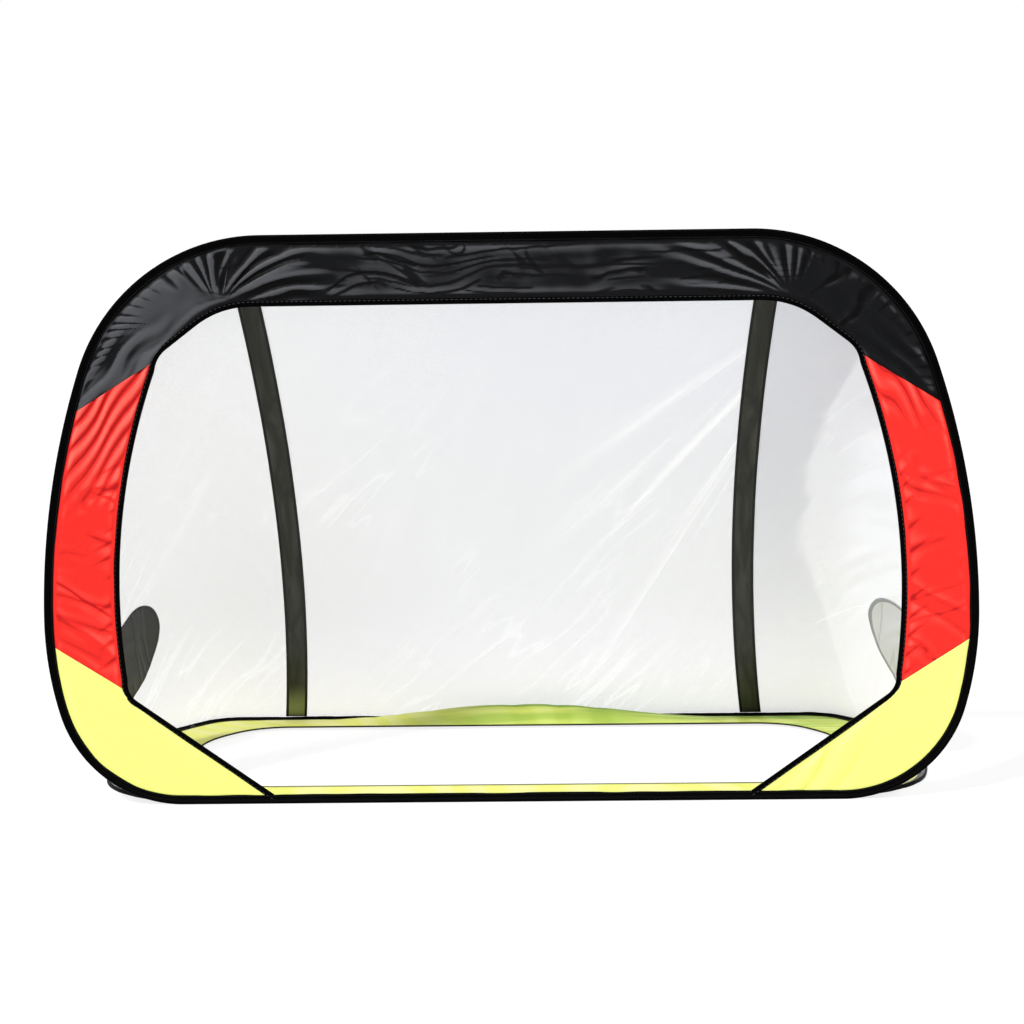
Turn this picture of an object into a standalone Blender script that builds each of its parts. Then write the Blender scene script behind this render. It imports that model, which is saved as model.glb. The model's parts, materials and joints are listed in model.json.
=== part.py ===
"""Pop-up beach soccer goal: a standing spring-steel hoop and a ground hoop in cloth sleeves, joined
along the bottom front seam, with colour-blocked front cloth, a mesh net and a ring of ground cloth.

Metres, +Z up, +X across the mouth, +Y from the mouth to the back of the net. While the pieces are
worked out, y = 0 is the plane of the standing hoop and z = 0 the ground. The whole goal is then moved
along Y, so that its origin lies on the ground under the middle of its box.
"""

from math import cos, exp, pi, radians, sin, sqrt

import bmesh
import bpy
from mathutils import Vector
from mathutils.geometry import tessellate_polygon

# Standing hoop, measured over its sleeve
FRONT_HALF_WIDTH = 0.900
FRONT_HEIGHT = 1.100
FRONT_FOOT_RADIUS = 0.246
FRONT_FOOT_TURN = radians(74)
FRONT_SIDE_TURN = radians(16.5)
FRONT_SHOULDER_RADIUS = 1.550
FRONT_SHOULDER_TURN = radians(18)
FRONT_CORNER_RADIUS = 0.372

# Ground hoop, measured over its sleeve
BASE_HALF_WIDTH = 0.838
BASE_DEPTH = 0.890
BASE_FOOT_RADIUS = 0.249
BASE_FOOT_TURN = radians(80.5)
BASE_SIDE_TURN = radians(19)
BASE_SHOULDER_RADIUS = 0.632
BASE_SHOULDER_TURN = radians(27.5)
BASE_CORNER_RADIUS = 0.100

# Ring of ground cloth, from the outside of the ground hoop to the inner edge of its hem
RING_FRONT_WIDTH = 0.124
RING_SIDE_WIDTH = 0.144
RING_BACK_WIDTH = 0.127
HEM_FOOT_RADIUS = 0.220
HEM_SHOULDER_RADIUS = 0.400
HEM_CORNER_RADIUS = 0.130

# Spring-steel wire, its crimped ferrule and the sleeve tape folded round it
CLEARANCE = 0.0003
WIRE_RADIUS = 0.0020
WIRE_END_GAP = 0.0006
FERRULE_WALL = 0.0006
FERRULE_LENGTH = 0.040
SLEEVE_TAPE = 0.0008
SLEEVE_WIDTH = 0.0180
SLEEVE_TUCK = 0.0070

# Cloth, binding tape, mesh and patches
CLOTH = 0.0016
BINDING_TAPE = 0.0008
MOUTH_BINDING_WIDTH = 0.0110
HEM_BINDING_WIDTH = 0.0040
NET = 0.0012
PATCH = 0.0008

# Mouth, to the inner edge of its binding: how far its corners lie inside the standing hoop
MOUTH_TOP_IN = 0.355
MOUTH_TOP_DOWN = 0.136
MOUTH_SHOULDER_IN = 0.230
MOUTH_SHOULDER_DOWN = 0.231
MOUTH_HIP_IN = 0.156
MOUTH_HIP_UP = 0.218
MOUTH_FOOT_IN = 0.438
MOUTH_SIDE_BOW = 0.037
MOUTH_TOP_REACH = 0.060
MOUTH_CORNER_REACH = 0.026
MOUTH_TIP_WIDTH = 0.006

# Where the seams of the front cloth meet the standing hoop
TOP_SEAM_IN = 0.380
SHOULDER_SEAM_DOWN = 0.335
HIP_SEAM_UP = 0.314

# Net, its two bands, the corner gussets and the round patches
BAND_WIDTH = 0.047
BAND_TOP_HALF = 0.517
BAND_BACK_HALF = 0.506
BAND_BOW = 0.037
GUSSET_OUTER_IN = 0.091
GUSSET_INNER_IN = 0.226
NET_SEAM_INSET = 0.0135
REAR_SAG = 0.014
SIDE_SAG = 0.022
NET_RIPPLE = 0.003
NET_RIPPLES = 2.5
NET_RIPPLE_LEAN = 0.8
NET_RIPPLE_START = 0.25
SIDE_SAG_START = 0.33
PATCH_RADIUS = 0.118
PATCH_ALONG = 0.46
PATCH_HEIGHT = 0.22

# Folds of the cloth: their depth, how many a strip has, and how far they lean, in folds, across it.
# Backward folds are a share of forward ones, to clear the ground hoop when folded
TOP_BAND_FOLD = 0.0045
TOP_BAND_FOLDS = 2.4
TOP_BAND_LEAN = 0.8
TOP_CORNER_FOLD = 0.0060
TOP_CORNER_GATHERS = 3.5
TOP_CORNER_LEAN = 0.15
SIDE_PANEL_FOLD = 0.0045
SIDE_PANEL_FOLDS = 2.2
SIDE_PANEL_LEAN = -0.6
LOWER_CORNER_FOLD = 0.0030
LOWER_CORNER_FOLDS = 1.2
LOWER_CORNER_LEAN = 0.3
BACKWARD_SHARE = 0.35
GROUND_FOLD = 0.0030
GROUND_FOLD_PITCH = 0.230
GROUND_FOLD_LEAN = 0.4
BILLOW_HEIGHT = 0.022
BILLOW_HALF_LENGTH = 0.240
FULL_FOLD_WIDTH = 0.120
FLAT_MARGIN = 0.004

# Steps along the straights, arcs and edges, and across the cloth
ARC_STEPS = (6, 3, 3, 8)
STRAIGHT_STEPS = 2
LOWER_CORNER_STEPS = 6
SIDE_PANEL_STEPS = 5
TOP_CORNER_STEPS = 10
TOP_BAND_HALF_STEPS = 7
CLOTH_ROWS = 4
NET_ROWS = 8
REAR_NET_HALF_STEPS = 4
BAND_STEPS = 1
SIDE_NET_STEPS = 16
GUSSET_STEPS = 4
GUSSET_ROWS = 3
PATCH_SEGMENTS = 28
OCTAGON = 8

# Worked out from the values above
FERRULE_BORE = WIRE_RADIUS + CLEARANCE
FERRULE_RADIUS = FERRULE_BORE + FERRULE_WALL
SLEEVE_BORE = FERRULE_RADIUS + CLEARANCE
BULB = SLEEVE_BORE + SLEEVE_TAPE
SLOT_HALF = CLOTH / 2 + CLEARANCE
SLEEVE_LEG = SLOT_HALF + SLEEVE_TAPE
BINDING_HALF = SLOT_HALF + BINDING_TAPE
CLOTH_EDGE_INSET = SLEEVE_WIDTH - SLEEVE_TUCK
BASE_FRONT_EDGE = BULB + CLEARANCE
HINGE_Y = BULB + CLEARANCE / 2
HINGE_Z = 2 * BULB + CLEARANCE / 2
GROUND_CLOTH_LEVEL = SLEEVE_LEG
NET_TOP_Y = SLEEVE_LEG + CLEARANCE + NET / 2
NET_FOOT_Z = 2 * BULB + CLEARANCE + NET / 2
SEAM_SHIFT = CLEARANCE * 0.7


def clear_scene():
    for obj in list(bpy.data.objects):
        bpy.data.objects.remove(obj, do_unlink=True)


def lerp(a, b, t):
    return a + (b - a) * t


def make_material(name, colour, roughness, metallic=0.0):
    material = bpy.data.materials.new(name)
    material.use_nodes = True
    shader = material.node_tree.nodes["Principled BSDF"]
    shader.inputs["Base Color"].default_value = (*colour, 1.0)
    shader.inputs["Roughness"].default_value = roughness
    shader.inputs["Metallic"].default_value = metallic
    material.diffuse_color = (*colour, 1.0)
    return material


def make_materials():
    return {
        "black": make_material("black_nylon", (0.012, 0.012, 0.014), 0.42),
        "red": make_material("red_nylon", (0.95, 0.045, 0.035), 0.45),
        "yellow": make_material("yellow_nylon", (0.95, 0.98, 0.28), 0.50),
        "tape": make_material("binding_tape", (0.010, 0.010, 0.011), 0.65),
        "net": make_material("white_mesh", (0.86, 0.88, 0.90), 0.75),
        "band": make_material("dark_band", (0.050, 0.055, 0.042), 0.55),
        "patch": make_material("grey_patch", (0.060, 0.062, 0.065), 0.50),
        "steel": make_material("spring_steel", (0.45, 0.45, 0.46), 0.35, 1.0),
        "zinc": make_material("zinc_ferrule", (0.62, 0.62, 0.60), 0.45, 1.0),
    }


def make_empty(name, place, parent=None):
    empty = bpy.data.objects.new(name, None)
    empty.location = place
    empty.parent = parent
    bpy.context.scene.collection.objects.link(empty)
    return empty


def link_mesh(name, mesh, material, parent):
    mesh.materials.append(material)
    obj = bpy.data.objects.new(name, mesh)
    obj.parent = parent
    bpy.context.scene.collection.objects.link(obj)
    return obj


def make_node(name, shape, material, parent, smooth=False):
    """A closed mesh from (points, faces) in the goal's frame, kept relative to its parent empty."""
    points, faces = shape
    mesh = bpy.data.meshes.new(name)
    mesh.from_pydata([p - parent.location for p in points], [], faces)
    build = bmesh.new()
    build.from_mesh(mesh)
    bmesh.ops.recalc_face_normals(build, faces=build.faces[:])
    if build.calc_volume(signed=True) < 0:
        bmesh.ops.reverse_faces(build, faces=build.faces[:])
    build.to_mesh(mesh)
    build.free()
    if smooth:
        mesh.shade_smooth()
        mesh.set_sharp_from_angle(angle=radians(50))
    return link_mesh(name, mesh, material, parent)


class Hoop:
    """The right half of a loop of straights and tangent arcs, walked from its bottom centre: foot
    arc, side arc, shoulder arc and top corner arc, between a bottom and a top straight."""

    def __init__(self, half_width, height, foot, side_turn, shoulder, corner_radius):
        """foot and shoulder are (radius, turn). The side's radius comes from the height, and the
        straights from the half width."""
        turns = (foot[1], side_turn, shoulder[1], pi - foot[1] - side_turn - shoulder[1])
        ends = [sum(turns[:i]) for i in range(len(turns) + 1)]
        rises = [cos(a) - cos(b) for a, b in zip(ends, ends[1:])]
        others = foot[0] * rises[0] + shoulder[0] * rises[2] + corner_radius * rises[3]
        side = (height - others) / rises[1]
        bottom = half_width - foot[0] * sin(ends[1]) - side * (1 - sin(ends[1]))
        x, v = bottom, 0.0
        self.pieces = [(0.0, 0.0, 0.0, 0.0, bottom)]
        for radius, start, turn in zip((foot[0], side, shoulder[0], corner_radius), ends, turns):
            self.pieces.append((x, v, start, radius, radius * turn))
            x += radius * (sin(start + turn) - sin(start))
            v += radius * (cos(start) - cos(start + turn))
        self.pieces.append((x, height, pi, 0.0, x))
        self.starts = [sum(piece[4] for piece in self.pieces[:i]) for i in range(len(self.pieces))]
        self.length = sum(piece[4] for piece in self.pieces)
        self.widest = self.starts[2] + side * (pi / 2 - ends[1])

    def at(self, s):
        """The outer edge's (x, v) at the length s, and the unit vector that points inwards."""
        index = max(i for i, start in enumerate(self.starts) if s >= start - 1e-9)
        x, v, turn, radius, _ = self.pieces[index]
        along = s - self.starts[index]
        if radius:
            turned, turn = turn, turn + along / radius
            x += radius * (sin(turn) - sin(turned))
            v += radius * (cos(turned) - cos(turn))
        else:
            x += along * cos(turn)
        return Vector((x, v)), Vector((-sin(turn), cos(turn)))

    def inset(self, s, depth):
        place, inwards = self.at(s)
        return place + inwards * depth

    def line(self):
        return [self.at(s)[0] for s in self.stops()]

    def length_where(self, axis, value, low, high):
        """The length between low and high at which x (axis 0) or v (axis 1) has this value."""
        rises = self.at(high)[0][axis] > self.at(low)[0][axis]
        for _ in range(50):
            middle = (low + high) / 2
            if (self.at(middle)[0][axis] < value) == rises:
                low = middle
            else:
                high = middle
        return low

    def stops(self):
        """Lengths that share out each straight and arc evenly."""
        found = []
        steps = (STRAIGHT_STEPS, *ARC_STEPS, STRAIGHT_STEPS)
        for start, piece, count in zip(self.starts, self.pieces, steps):
            found += [start + piece[4] * k / count for k in range(count)]
        return [*found, self.length]


def front_hoop():
    foot = (FRONT_FOOT_RADIUS, FRONT_FOOT_TURN)
    shoulder = (FRONT_SHOULDER_RADIUS, FRONT_SHOULDER_TURN)
    return Hoop(FRONT_HALF_WIDTH, FRONT_HEIGHT, foot, FRONT_SIDE_TURN, shoulder, FRONT_CORNER_RADIUS)


def base_hoop():
    foot = (BASE_FOOT_RADIUS, BASE_FOOT_TURN)
    shoulder = (BASE_SHOULDER_RADIUS, BASE_SHOULDER_TURN)
    return Hoop(BASE_HALF_WIDTH, BASE_DEPTH, foot, BASE_SIDE_TURN, shoulder, BASE_CORNER_RADIUS)


def hem_loop():
    foot = (HEM_FOOT_RADIUS, BASE_FOOT_TURN)
    shoulder = (HEM_SHOULDER_RADIUS, BASE_SHOULDER_TURN)
    depth = BASE_DEPTH - RING_FRONT_WIDTH - RING_BACK_WIDTH
    half_width = BASE_HALF_WIDTH - RING_SIDE_WIDTH
    return Hoop(half_width, depth, foot, BASE_SIDE_TURN, shoulder, HEM_CORNER_RADIUS)


def upright(point, back=0.0):
    """A point of the standing hoop's plane, or behind it."""
    return Vector((point[0], back, point[1]))


def on_ground(point, level=0.0):
    """A point above the ground, its second coordinate measured from the ground hoop's front edge."""
    return Vector((point[0], BASE_FRONT_EDGE + point[1], level))


def mirrored(point):
    return Vector((-point[0], *point[1:]))


def plane_frames(hoop, place, square, side=1):
    """(place, direction across, square) at each stop of a loop, all the way round. The loop is open
    at the bottom centre by the gap that its ends keep."""
    right = []
    for s in [WIRE_END_GAP / 2, *hoop.stops()[1:]]:
        edge, inwards = hoop.at(s)
        start = place(edge)
        right.append((start, (place(edge + inwards) - start) * side, square))
    left = [(mirrored(p), mirrored(a), b) for p, a, b in reversed(right[:-1])]
    return right + left


def octagon(centre, apothem):
    corner = apothem / cos(pi / OCTAGON)
    turns = [(2 * k + 1) * pi / OCTAGON for k in range(OCTAGON)]
    return [(centre + corner * cos(turn), corner * sin(turn)) for turn in turns]


def tape_face(apothem, high, low):
    """An octagon round the wire that stops at two legs, whose faces are at the heights high and low."""
    corners = octagon(BULB, apothem)
    kept = [(a, b) for a, b in corners if a < BULB or not low - 1e-7 < b < high + 1e-7]
    joints = [(BULB + min(apothem, apothem * sqrt(2) - abs(b)), b) for b in (high, low)]
    return [joints[0], *kept, joints[1]]


def sleeve_section(slot_middle):
    """One tape folded round the wire, with two legs that hold the edge of the cloth."""
    upper, lower = slot_middle + SLEEVE_LEG, slot_middle - SLEEVE_LEG
    outer = tape_face(BULB, upper, lower)
    inner = tape_face(SLEEVE_BORE, upper - SLEEVE_TAPE, lower + SLEEVE_TAPE)
    lower_end = [(SLEEVE_WIDTH, lower), (SLEEVE_WIDTH, lower + SLEEVE_TAPE)]
    upper_end = [(SLEEVE_WIDTH, upper - SLEEVE_TAPE), (SLEEVE_WIDTH, upper)]
    return outer + lower_end + inner[::-1] + upper_end


def binding_section(width):
    """Tape folded over an edge of cloth: a web at the edge and a leg on each face."""
    outer = [(0, BINDING_HALF), (0, -BINDING_HALF), (width, -BINDING_HALF), (width, -SLOT_HALF)]
    inner = [(BINDING_TAPE, -SLOT_HALF), (BINDING_TAPE, SLOT_HALF)]
    return outer + inner + [(width, SLOT_HALF), (width, BINDING_HALF)]


def sweep(frames, *loops):
    """(points, faces) of a bar whose section is drawn by loops of (across, square) coordinates."""
    points, faces = [], []
    for place, across, square in frames:
        points += [place + across * a + square * b for loop in loops for a, b in loop]
    ring = sum(len(loop) for loop in loops)
    for k in range(len(frames) - 1):
        first = k * ring
        for loop in loops:
            for i in range(len(loop)):
                j = (i + 1) % len(loop)
                faces.append((first + i, first + j, first + ring + j, first + ring + i))
            first += len(loop)
    last = (len(frames) - 1) * ring
    caps = [range(ring)]
    if len(loops) > 1:
        caps = tessellate_polygon([[Vector((a, b, 0)) for a, b in loop] for loop in loops])
    for cap in caps:
        faces.append(tuple(cap))
        faces.append(tuple(last + i for i in cap))
    return points, faces


def sheet(columns, thickness):
    """(points, faces) of cloth of this thickness, whose middle runs through columns of
    (point, normal). Sheets on the same columns share their diagonals, so they lie parallel."""
    rows = len(columns[0])
    count = len(columns) * rows
    front = [p + n * thickness / 2 for column in columns for p, n in column]
    back = [p - n * thickness / 2 for column in columns for p, n in column]
    faces = []
    for i in range(len(columns) - 1):
        for j in range(rows - 1):
            a, b = i * rows + j, (i + 1) * rows + j
            for first, second, third in ((a, b, b + 1), (a, b + 1, a + 1)):
                faces.append((first, second, third))
                faces.append((count + first, count + third, count + second))
    corner = (len(columns) - 1) * rows
    rim = [i * rows for i in range(len(columns))]
    rim += [corner + j for j in range(1, rows)]
    rim += [i * rows + rows - 1 for i in range(len(columns) - 2, -1, -1)]
    rim += list(range(rows - 2, 0, -1))
    for a, b in zip(rim, rim[1:] + rim[:1]):
        faces.append((a, b, count + b, count + a))
    return front + back, faces


def draw_apart(columns, start=True, end=True):
    """The end columns moved in by half a seam's gap, so that sheets in a row don't touch."""
    moved = [list(column) for column in columns]
    for here, beside, wanted in ((0, 1, start), (-1, -2, end)):
        for j, (p, n) in enumerate(columns[here]):
            if wanted:
                moved[here][j] = (p + (columns[beside][j][0] - p).normalized() * SEAM_SHIFT, n)
    return moved


def turned_columns(columns, turn):
    return [[(turn(p), turn(n)) for p, n in column] for column in columns]


def both_halves(columns):
    """Columns from the centre out, with their mirror image before them."""
    return turned_columns(columns[:0:-1], mirrored) + columns


def round_corner(a, b, c, t):
    return a * (1 - t) ** 2 + b * 2 * t * (1 - t) + c * t**2


def mouth_edge(before, start, end, after, bow, steps, reaches=(MOUTH_CORNER_REACH, MOUTH_CORNER_REACH)):
    """Points from the middle of one rounded corner of the mouth to the middle of the next. before
    and after are the corners beyond, or None where the mouth ends or crosses the centre. reaches
    are how far the two corners' rounding goes."""
    along = (end - start).normalized()
    outwards = Vector((along[1], -along[0]))
    first = start + along * reaches[0] if before else start
    last = end - along * reaches[1] if after else end
    points = []
    if before:
        behind = start + (before - start).normalized() * reaches[0]
        points += [round_corner(behind, start, first, t) for t in (0.5, 0.75)]
    for k in range(steps + 1):
        t = k / steps
        points.append(first.lerp(last, t) + outwards * bow * 4 * t * (1 - t))
    if after:
        ahead = end + (after - end).normalized() * reaches[1]
        points += [round_corner(last, end, ahead, t) for t in (0.25, 0.5)]
    return points


def outward_mitres(points):
    """At each point of a line, the outward vector that keeps an offset line parallel to it."""
    found = []
    for i in range(len(points)):
        normals = []
        for k in (i - 1, i):
            if 0 <= k < len(points) - 1:
                along = (points[k + 1] - points[k]).normalized()
                normals.append(Vector((along[1], -along[0])))
        middle = sum(normals, Vector((0, 0))).normalized()
        found.append(middle / middle.dot(normals[0]))
    return found


class Mouth:
    """The right half of the mouth's edge, from its foot on the sleeve to the top centre, in four
    stretches, each facing a stretch of the standing hoop between two seams."""

    def __init__(self, hoop):
        foot = Vector((FRONT_HALF_WIDTH - MOUTH_FOOT_IN, SLEEVE_WIDTH + CLEARANCE))
        hip = Vector((FRONT_HALF_WIDTH - MOUTH_HIP_IN, MOUTH_HIP_UP))
        shoulder = Vector((FRONT_HALF_WIDTH - MOUTH_SHOULDER_IN, FRONT_HEIGHT - MOUTH_SHOULDER_DOWN))
        top = Vector((FRONT_HALF_WIDTH - MOUTH_TOP_IN, FRONT_HEIGHT - MOUTH_TOP_DOWN))
        centre = Vector((0, top[1]))
        stretches = (
            mouth_edge(None, foot, hip, shoulder, 0, LOWER_CORNER_STEPS),
            mouth_edge(foot, hip, shoulder, top, MOUTH_SIDE_BOW, SIDE_PANEL_STEPS),
            mouth_edge(
                hip, shoulder, top, centre, 0, TOP_CORNER_STEPS, (MOUTH_CORNER_REACH, MOUTH_TOP_REACH)
            ),
            mouth_edge(
                shoulder, top, centre, None, 0, TOP_BAND_HALF_STEPS, (MOUTH_TOP_REACH, MOUTH_TOP_REACH)
            ),
        )
        self.line = list(stretches[0])
        self.ranges = [(0, len(self.line) - 1)]
        for stretch in stretches[1:]:
            self.ranges.append((len(self.line) - 1, len(self.line) + len(stretch) - 2))
            self.line += stretch[1:]
        self.mitres = outward_mitres(self.line)
        rising = (hoop.starts[1], hoop.starts[5])
        self.seams = [
            foot[0],
            hoop.length_where(1, HIP_SEAM_UP, *rising),
            hoop.length_where(1, FRONT_HEIGHT - SHOULDER_SEAM_DOWN, *rising),
            hoop.length_where(0, FRONT_HALF_WIDTH - TOP_SEAM_IN, hoop.widest, hoop.length),
            hoop.length,
        ]

    def cloth_edge(self, i):
        return self.line[i] + self.mitres[i] * (BINDING_TAPE + CLEARANCE)


def distance_to(line, point):
    """How far a point lies from a line of points."""
    nearest = []
    for start, end in zip(line, line[1:]):
        share = (point - start).dot(end - start) / (end - start).length_squared
        nearest.append((start.lerp(end, min(max(share, 0), 1)) - point).length)
    return min(nearest)


def flat_share(start, end, line, flat):
    """The share of the way from start to end, at most a half, at which the cloth is clear of the tape
    on a line."""
    low, high = 0.0, 0.5
    for _ in range(12):
        middle = (low + high) / 2
        if distance_to(line, start.lerp(end, middle)) < flat:
            low = middle
        else:
            high = middle
    return high


def cloth_column(outer, inner, sleeve_line, tape_line, tape_width, fold):
    """(place, fold depth) pairs across a strip of cloth. It lies flat between the sleeve's legs and
    in the tape, and fold(share of the way across) gives its depth between them."""
    first = flat_share(outer, inner, sleeve_line, SLEEVE_WIDTH + FLAT_MARGIN)
    last = 1 - flat_share(inner, outer, tape_line, tape_width + FLAT_MARGIN)
    size = min(1.0, (inner - outer).length * (last - first) / FULL_FOLD_WIDTH)
    column = [(outer, 0.0)]
    for k in range(CLOTH_ROWS + 1):
        t = k / CLOTH_ROWS
        column.append((outer.lerp(inner, lerp(first, last, t)), size * sin(pi * t) * fold(t)))
    return [*column, (inner, 0.0)]


def front_columns(hoop, mouth, stretch, fold):
    """Columns of the front cloth from the sleeve to the mouth, along one stretch."""
    first, last = mouth.ranges[stretch]
    start, end = mouth.seams[stretch : stretch + 2]
    steps = [(mouth.line[i + 1] - mouth.line[i]).length for i in range(first, last)]
    sleeve_line = hoop.line()
    columns = []
    for i in range(first, last + 1):
        along = sum(steps[: i - first]) / sum(steps)
        s, inner = lerp(start, end, along), mouth.cloth_edge(i)
        if i == 0:
            up = mouth.line[1] - mouth.line[0]
            inner += up * (MOUTH_TIP_WIDTH / up[1])
            s = inner[0]
        outer = hoop.inset(s, CLOTH_EDGE_INSET)
        column = cloth_column(
            outer, inner, sleeve_line, mouth.line, MOUTH_BINDING_WIDTH, lambda t: forward(fold(along, t))
        )
        columns.append([(upright(p, y), Vector((0, 1, 0))) for p, y in column])
    return columns


def forward(depth):
    """A fold's depth as a place along Y: in full towards the front, and a share of it backward."""
    return -depth if depth > 0 else -depth * BACKWARD_SHARE


def wave(folds, lean, along, across, start=0.0):
    """A run of folds from -1 to 1, along a strip of cloth and leaning across it."""
    return sin(2 * pi * (folds * along + lean * across + start))


def top_band_fold(along, across):
    """Long shallow folds that slant along the band and fade towards its middle."""
    return TOP_BAND_FOLD * wave(TOP_BAND_FOLDS, TOP_BAND_LEAN, along, across) * lerp(1.1, 0.6, along)


def top_corner_fold(along, across):
    """Gathers that run from the mouth's corner to the hoop."""
    return TOP_CORNER_FOLD * wave(TOP_CORNER_GATHERS, TOP_CORNER_LEAN, along, across, 0.1)


def side_panel_fold(along, across):
    """Slanting folds that fade towards the top."""
    folds = wave(SIDE_PANEL_FOLDS, SIDE_PANEL_LEAN, along, across, 0.06)
    return SIDE_PANEL_FOLD * folds * lerp(1.15, 0.55, along)


def lower_corner_fold(along, across):
    """Slack cloth that stands forward a little."""
    folds = wave(LOWER_CORNER_FOLDS, LOWER_CORNER_LEAN, along, across, 0.25)
    return LOWER_CORNER_FOLD * (0.6 + 0.4 * folds)


def make_front_cloth(hoop, mouth, materials, parent):
    sides = (
        ("lower_corner", lower_corner_fold, "yellow"),
        ("side_panel", side_panel_fold, "red"),
        ("top_corner", top_corner_fold, "black"),
    )
    for stretch, (name, fold, colour) in enumerate(sides):
        columns = front_columns(hoop, mouth, stretch, fold)
        right = draw_apart(columns, start=stretch > 0)
        left = turned_columns(right, mirrored)
        make_node(f"{name}_right", sheet(right, CLOTH), materials[colour], parent)
        make_node(f"{name}_left", sheet(left, CLOTH), materials[colour], parent)
    from_centre = front_columns(hoop, mouth, len(sides), top_band_fold)[::-1]
    band = draw_apart(both_halves(from_centre))
    make_node("top_band", sheet(band, CLOTH), materials["black"], parent)


def make_mouth_binding(mouth, materials, parent):
    square = Vector((0, 1, 0))
    right = [(upright(p), upright(a), square) for p, a in zip(mouth.line, mouth.mitres)]
    rise = (mouth.line[1] - mouth.line[0]).normalized()[1]
    right[0] = (right[0][0], Vector((1 / rise, 0, 0)), square)
    left = [(mirrored(p), mirrored(a), b) for p, a, b in reversed(right[:-1])]
    shape = sweep(right + left, binding_section(MOUTH_BINDING_WIDTH))
    make_node("mouth_binding", shape, materials["tape"], parent)


def make_hoop(name, frames, slot_middle, materials, parent):
    """The sleeve, the wire and the ferrule that joins the wire's ends, on frames of the outer edge."""
    sleeve = sweep(frames, sleeve_section(slot_middle))
    make_node(f"{name}_hoop_sleeve", sleeve, materials["black"], parent, smooth=True)
    wire = sweep(frames, octagon(BULB, WIRE_RADIUS))
    make_node(f"{name}_hoop_wire", wire, materials["steel"], parent, smooth=True)
    middle, across, square = frames[0]
    ends = []
    for x in (FERRULE_LENGTH / 2, -FERRULE_LENGTH / 2):
        ends.append((Vector((x, *middle[1:])), across, square))
    tube = sweep(ends, octagon(BULB, FERRULE_RADIUS), octagon(BULB, FERRULE_BORE))
    make_node(f"{name}_hoop_ferrule", tube, materials["zinc"], parent, smooth=True)


def ground_fold(x, across):
    """Ripples of the ground cloth, which only stand up from the ground."""
    return GROUND_FOLD * (0.5 + 0.5 * wave(1 / GROUND_FOLD_PITCH, GROUND_FOLD_LEAN, x, across))


def rear_ground_fold(x, across):
    """The rear strip also has one long billow at its middle."""
    return ground_fold(x, across) + BILLOW_HEIGHT * exp(-((x / BILLOW_HALF_LENGTH) ** 2))


def ground_columns(base, hem, fold):
    """Columns of the ground cloth's right half, front centre to back centre."""
    columns = []
    hem_place = Vector((0, RING_FRONT_WIDTH))
    sleeve_line, tape_line = base.line(), [p + hem_place for p in hem.line()]
    for outer_s, inner_s in zip(base.stops(), hem.stops()):
        outer = base.inset(outer_s, CLOTH_EDGE_INSET)
        inner = hem.inset(inner_s, -BINDING_TAPE - CLEARANCE) + hem_place
        column = cloth_column(
            outer, inner, sleeve_line, tape_line, HEM_BINDING_WIDTH, lambda t: fold(outer[0], t)
        )
        columns.append([(on_ground(p, GROUND_CLOTH_LEVEL + z), Vector((0, 0, 1))) for p, z in column])
    return columns


def drawn_in(frames):
    """Frames of a length of tape whose ends are half a seam's gap short."""
    moved = list(frames)
    for here, beside in ((0, 1), (-1, -2)):
        place, across, square = frames[here]
        moved[here] = (place + (frames[beside][0] - place).normalized() * SEAM_SHIFT, across, square)
    return moved


def make_ground_cloth(base, hem, materials, parent):
    """Four strips of a ring, each with its length of hem tape. The seams are where the front and
    back straights end."""
    columns, rear = ground_columns(base, hem, ground_fold), ground_columns(base, hem, rear_ground_fold)
    front_seam = STRAIGHT_STEPS
    back_seam = STRAIGHT_STEPS + sum(ARC_STEPS)
    side = draw_apart(columns[front_seam : back_seam + 1])
    strips = {
        "front": draw_apart(both_halves(columns[: front_seam + 1])),
        "rear": draw_apart(both_halves(rear[: back_seam - 1 : -1])),
        "right": side,
        "left": turned_columns(side, mirrored),
    }
    for name, strip in strips.items():
        make_node(f"base_panel_{name}", sheet(strip, CLOTH), materials["yellow"], parent)
    hem_place = Vector((0, RING_FRONT_WIDTH, GROUND_CLOTH_LEVEL))
    frames = plane_frames(hem, lambda p: on_ground(p) + hem_place, Vector((0, 0, 1)), side=-1)
    last = len(frames) - 1
    lengths = {
        "front": [frames[last - front_seam], frames[front_seam]],
        "rear": [frames[back_seam], frames[last - back_seam]],
        "right": frames[front_seam : back_seam + 1],
        "left": frames[last - back_seam : last - front_seam + 1],
    }
    for name, length in lengths.items():
        tape = sweep(drawn_in(length), binding_section(HEM_BINDING_WIDTH))
        make_node(f"base_hem_{name}", tape, materials["tape"], parent)


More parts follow.
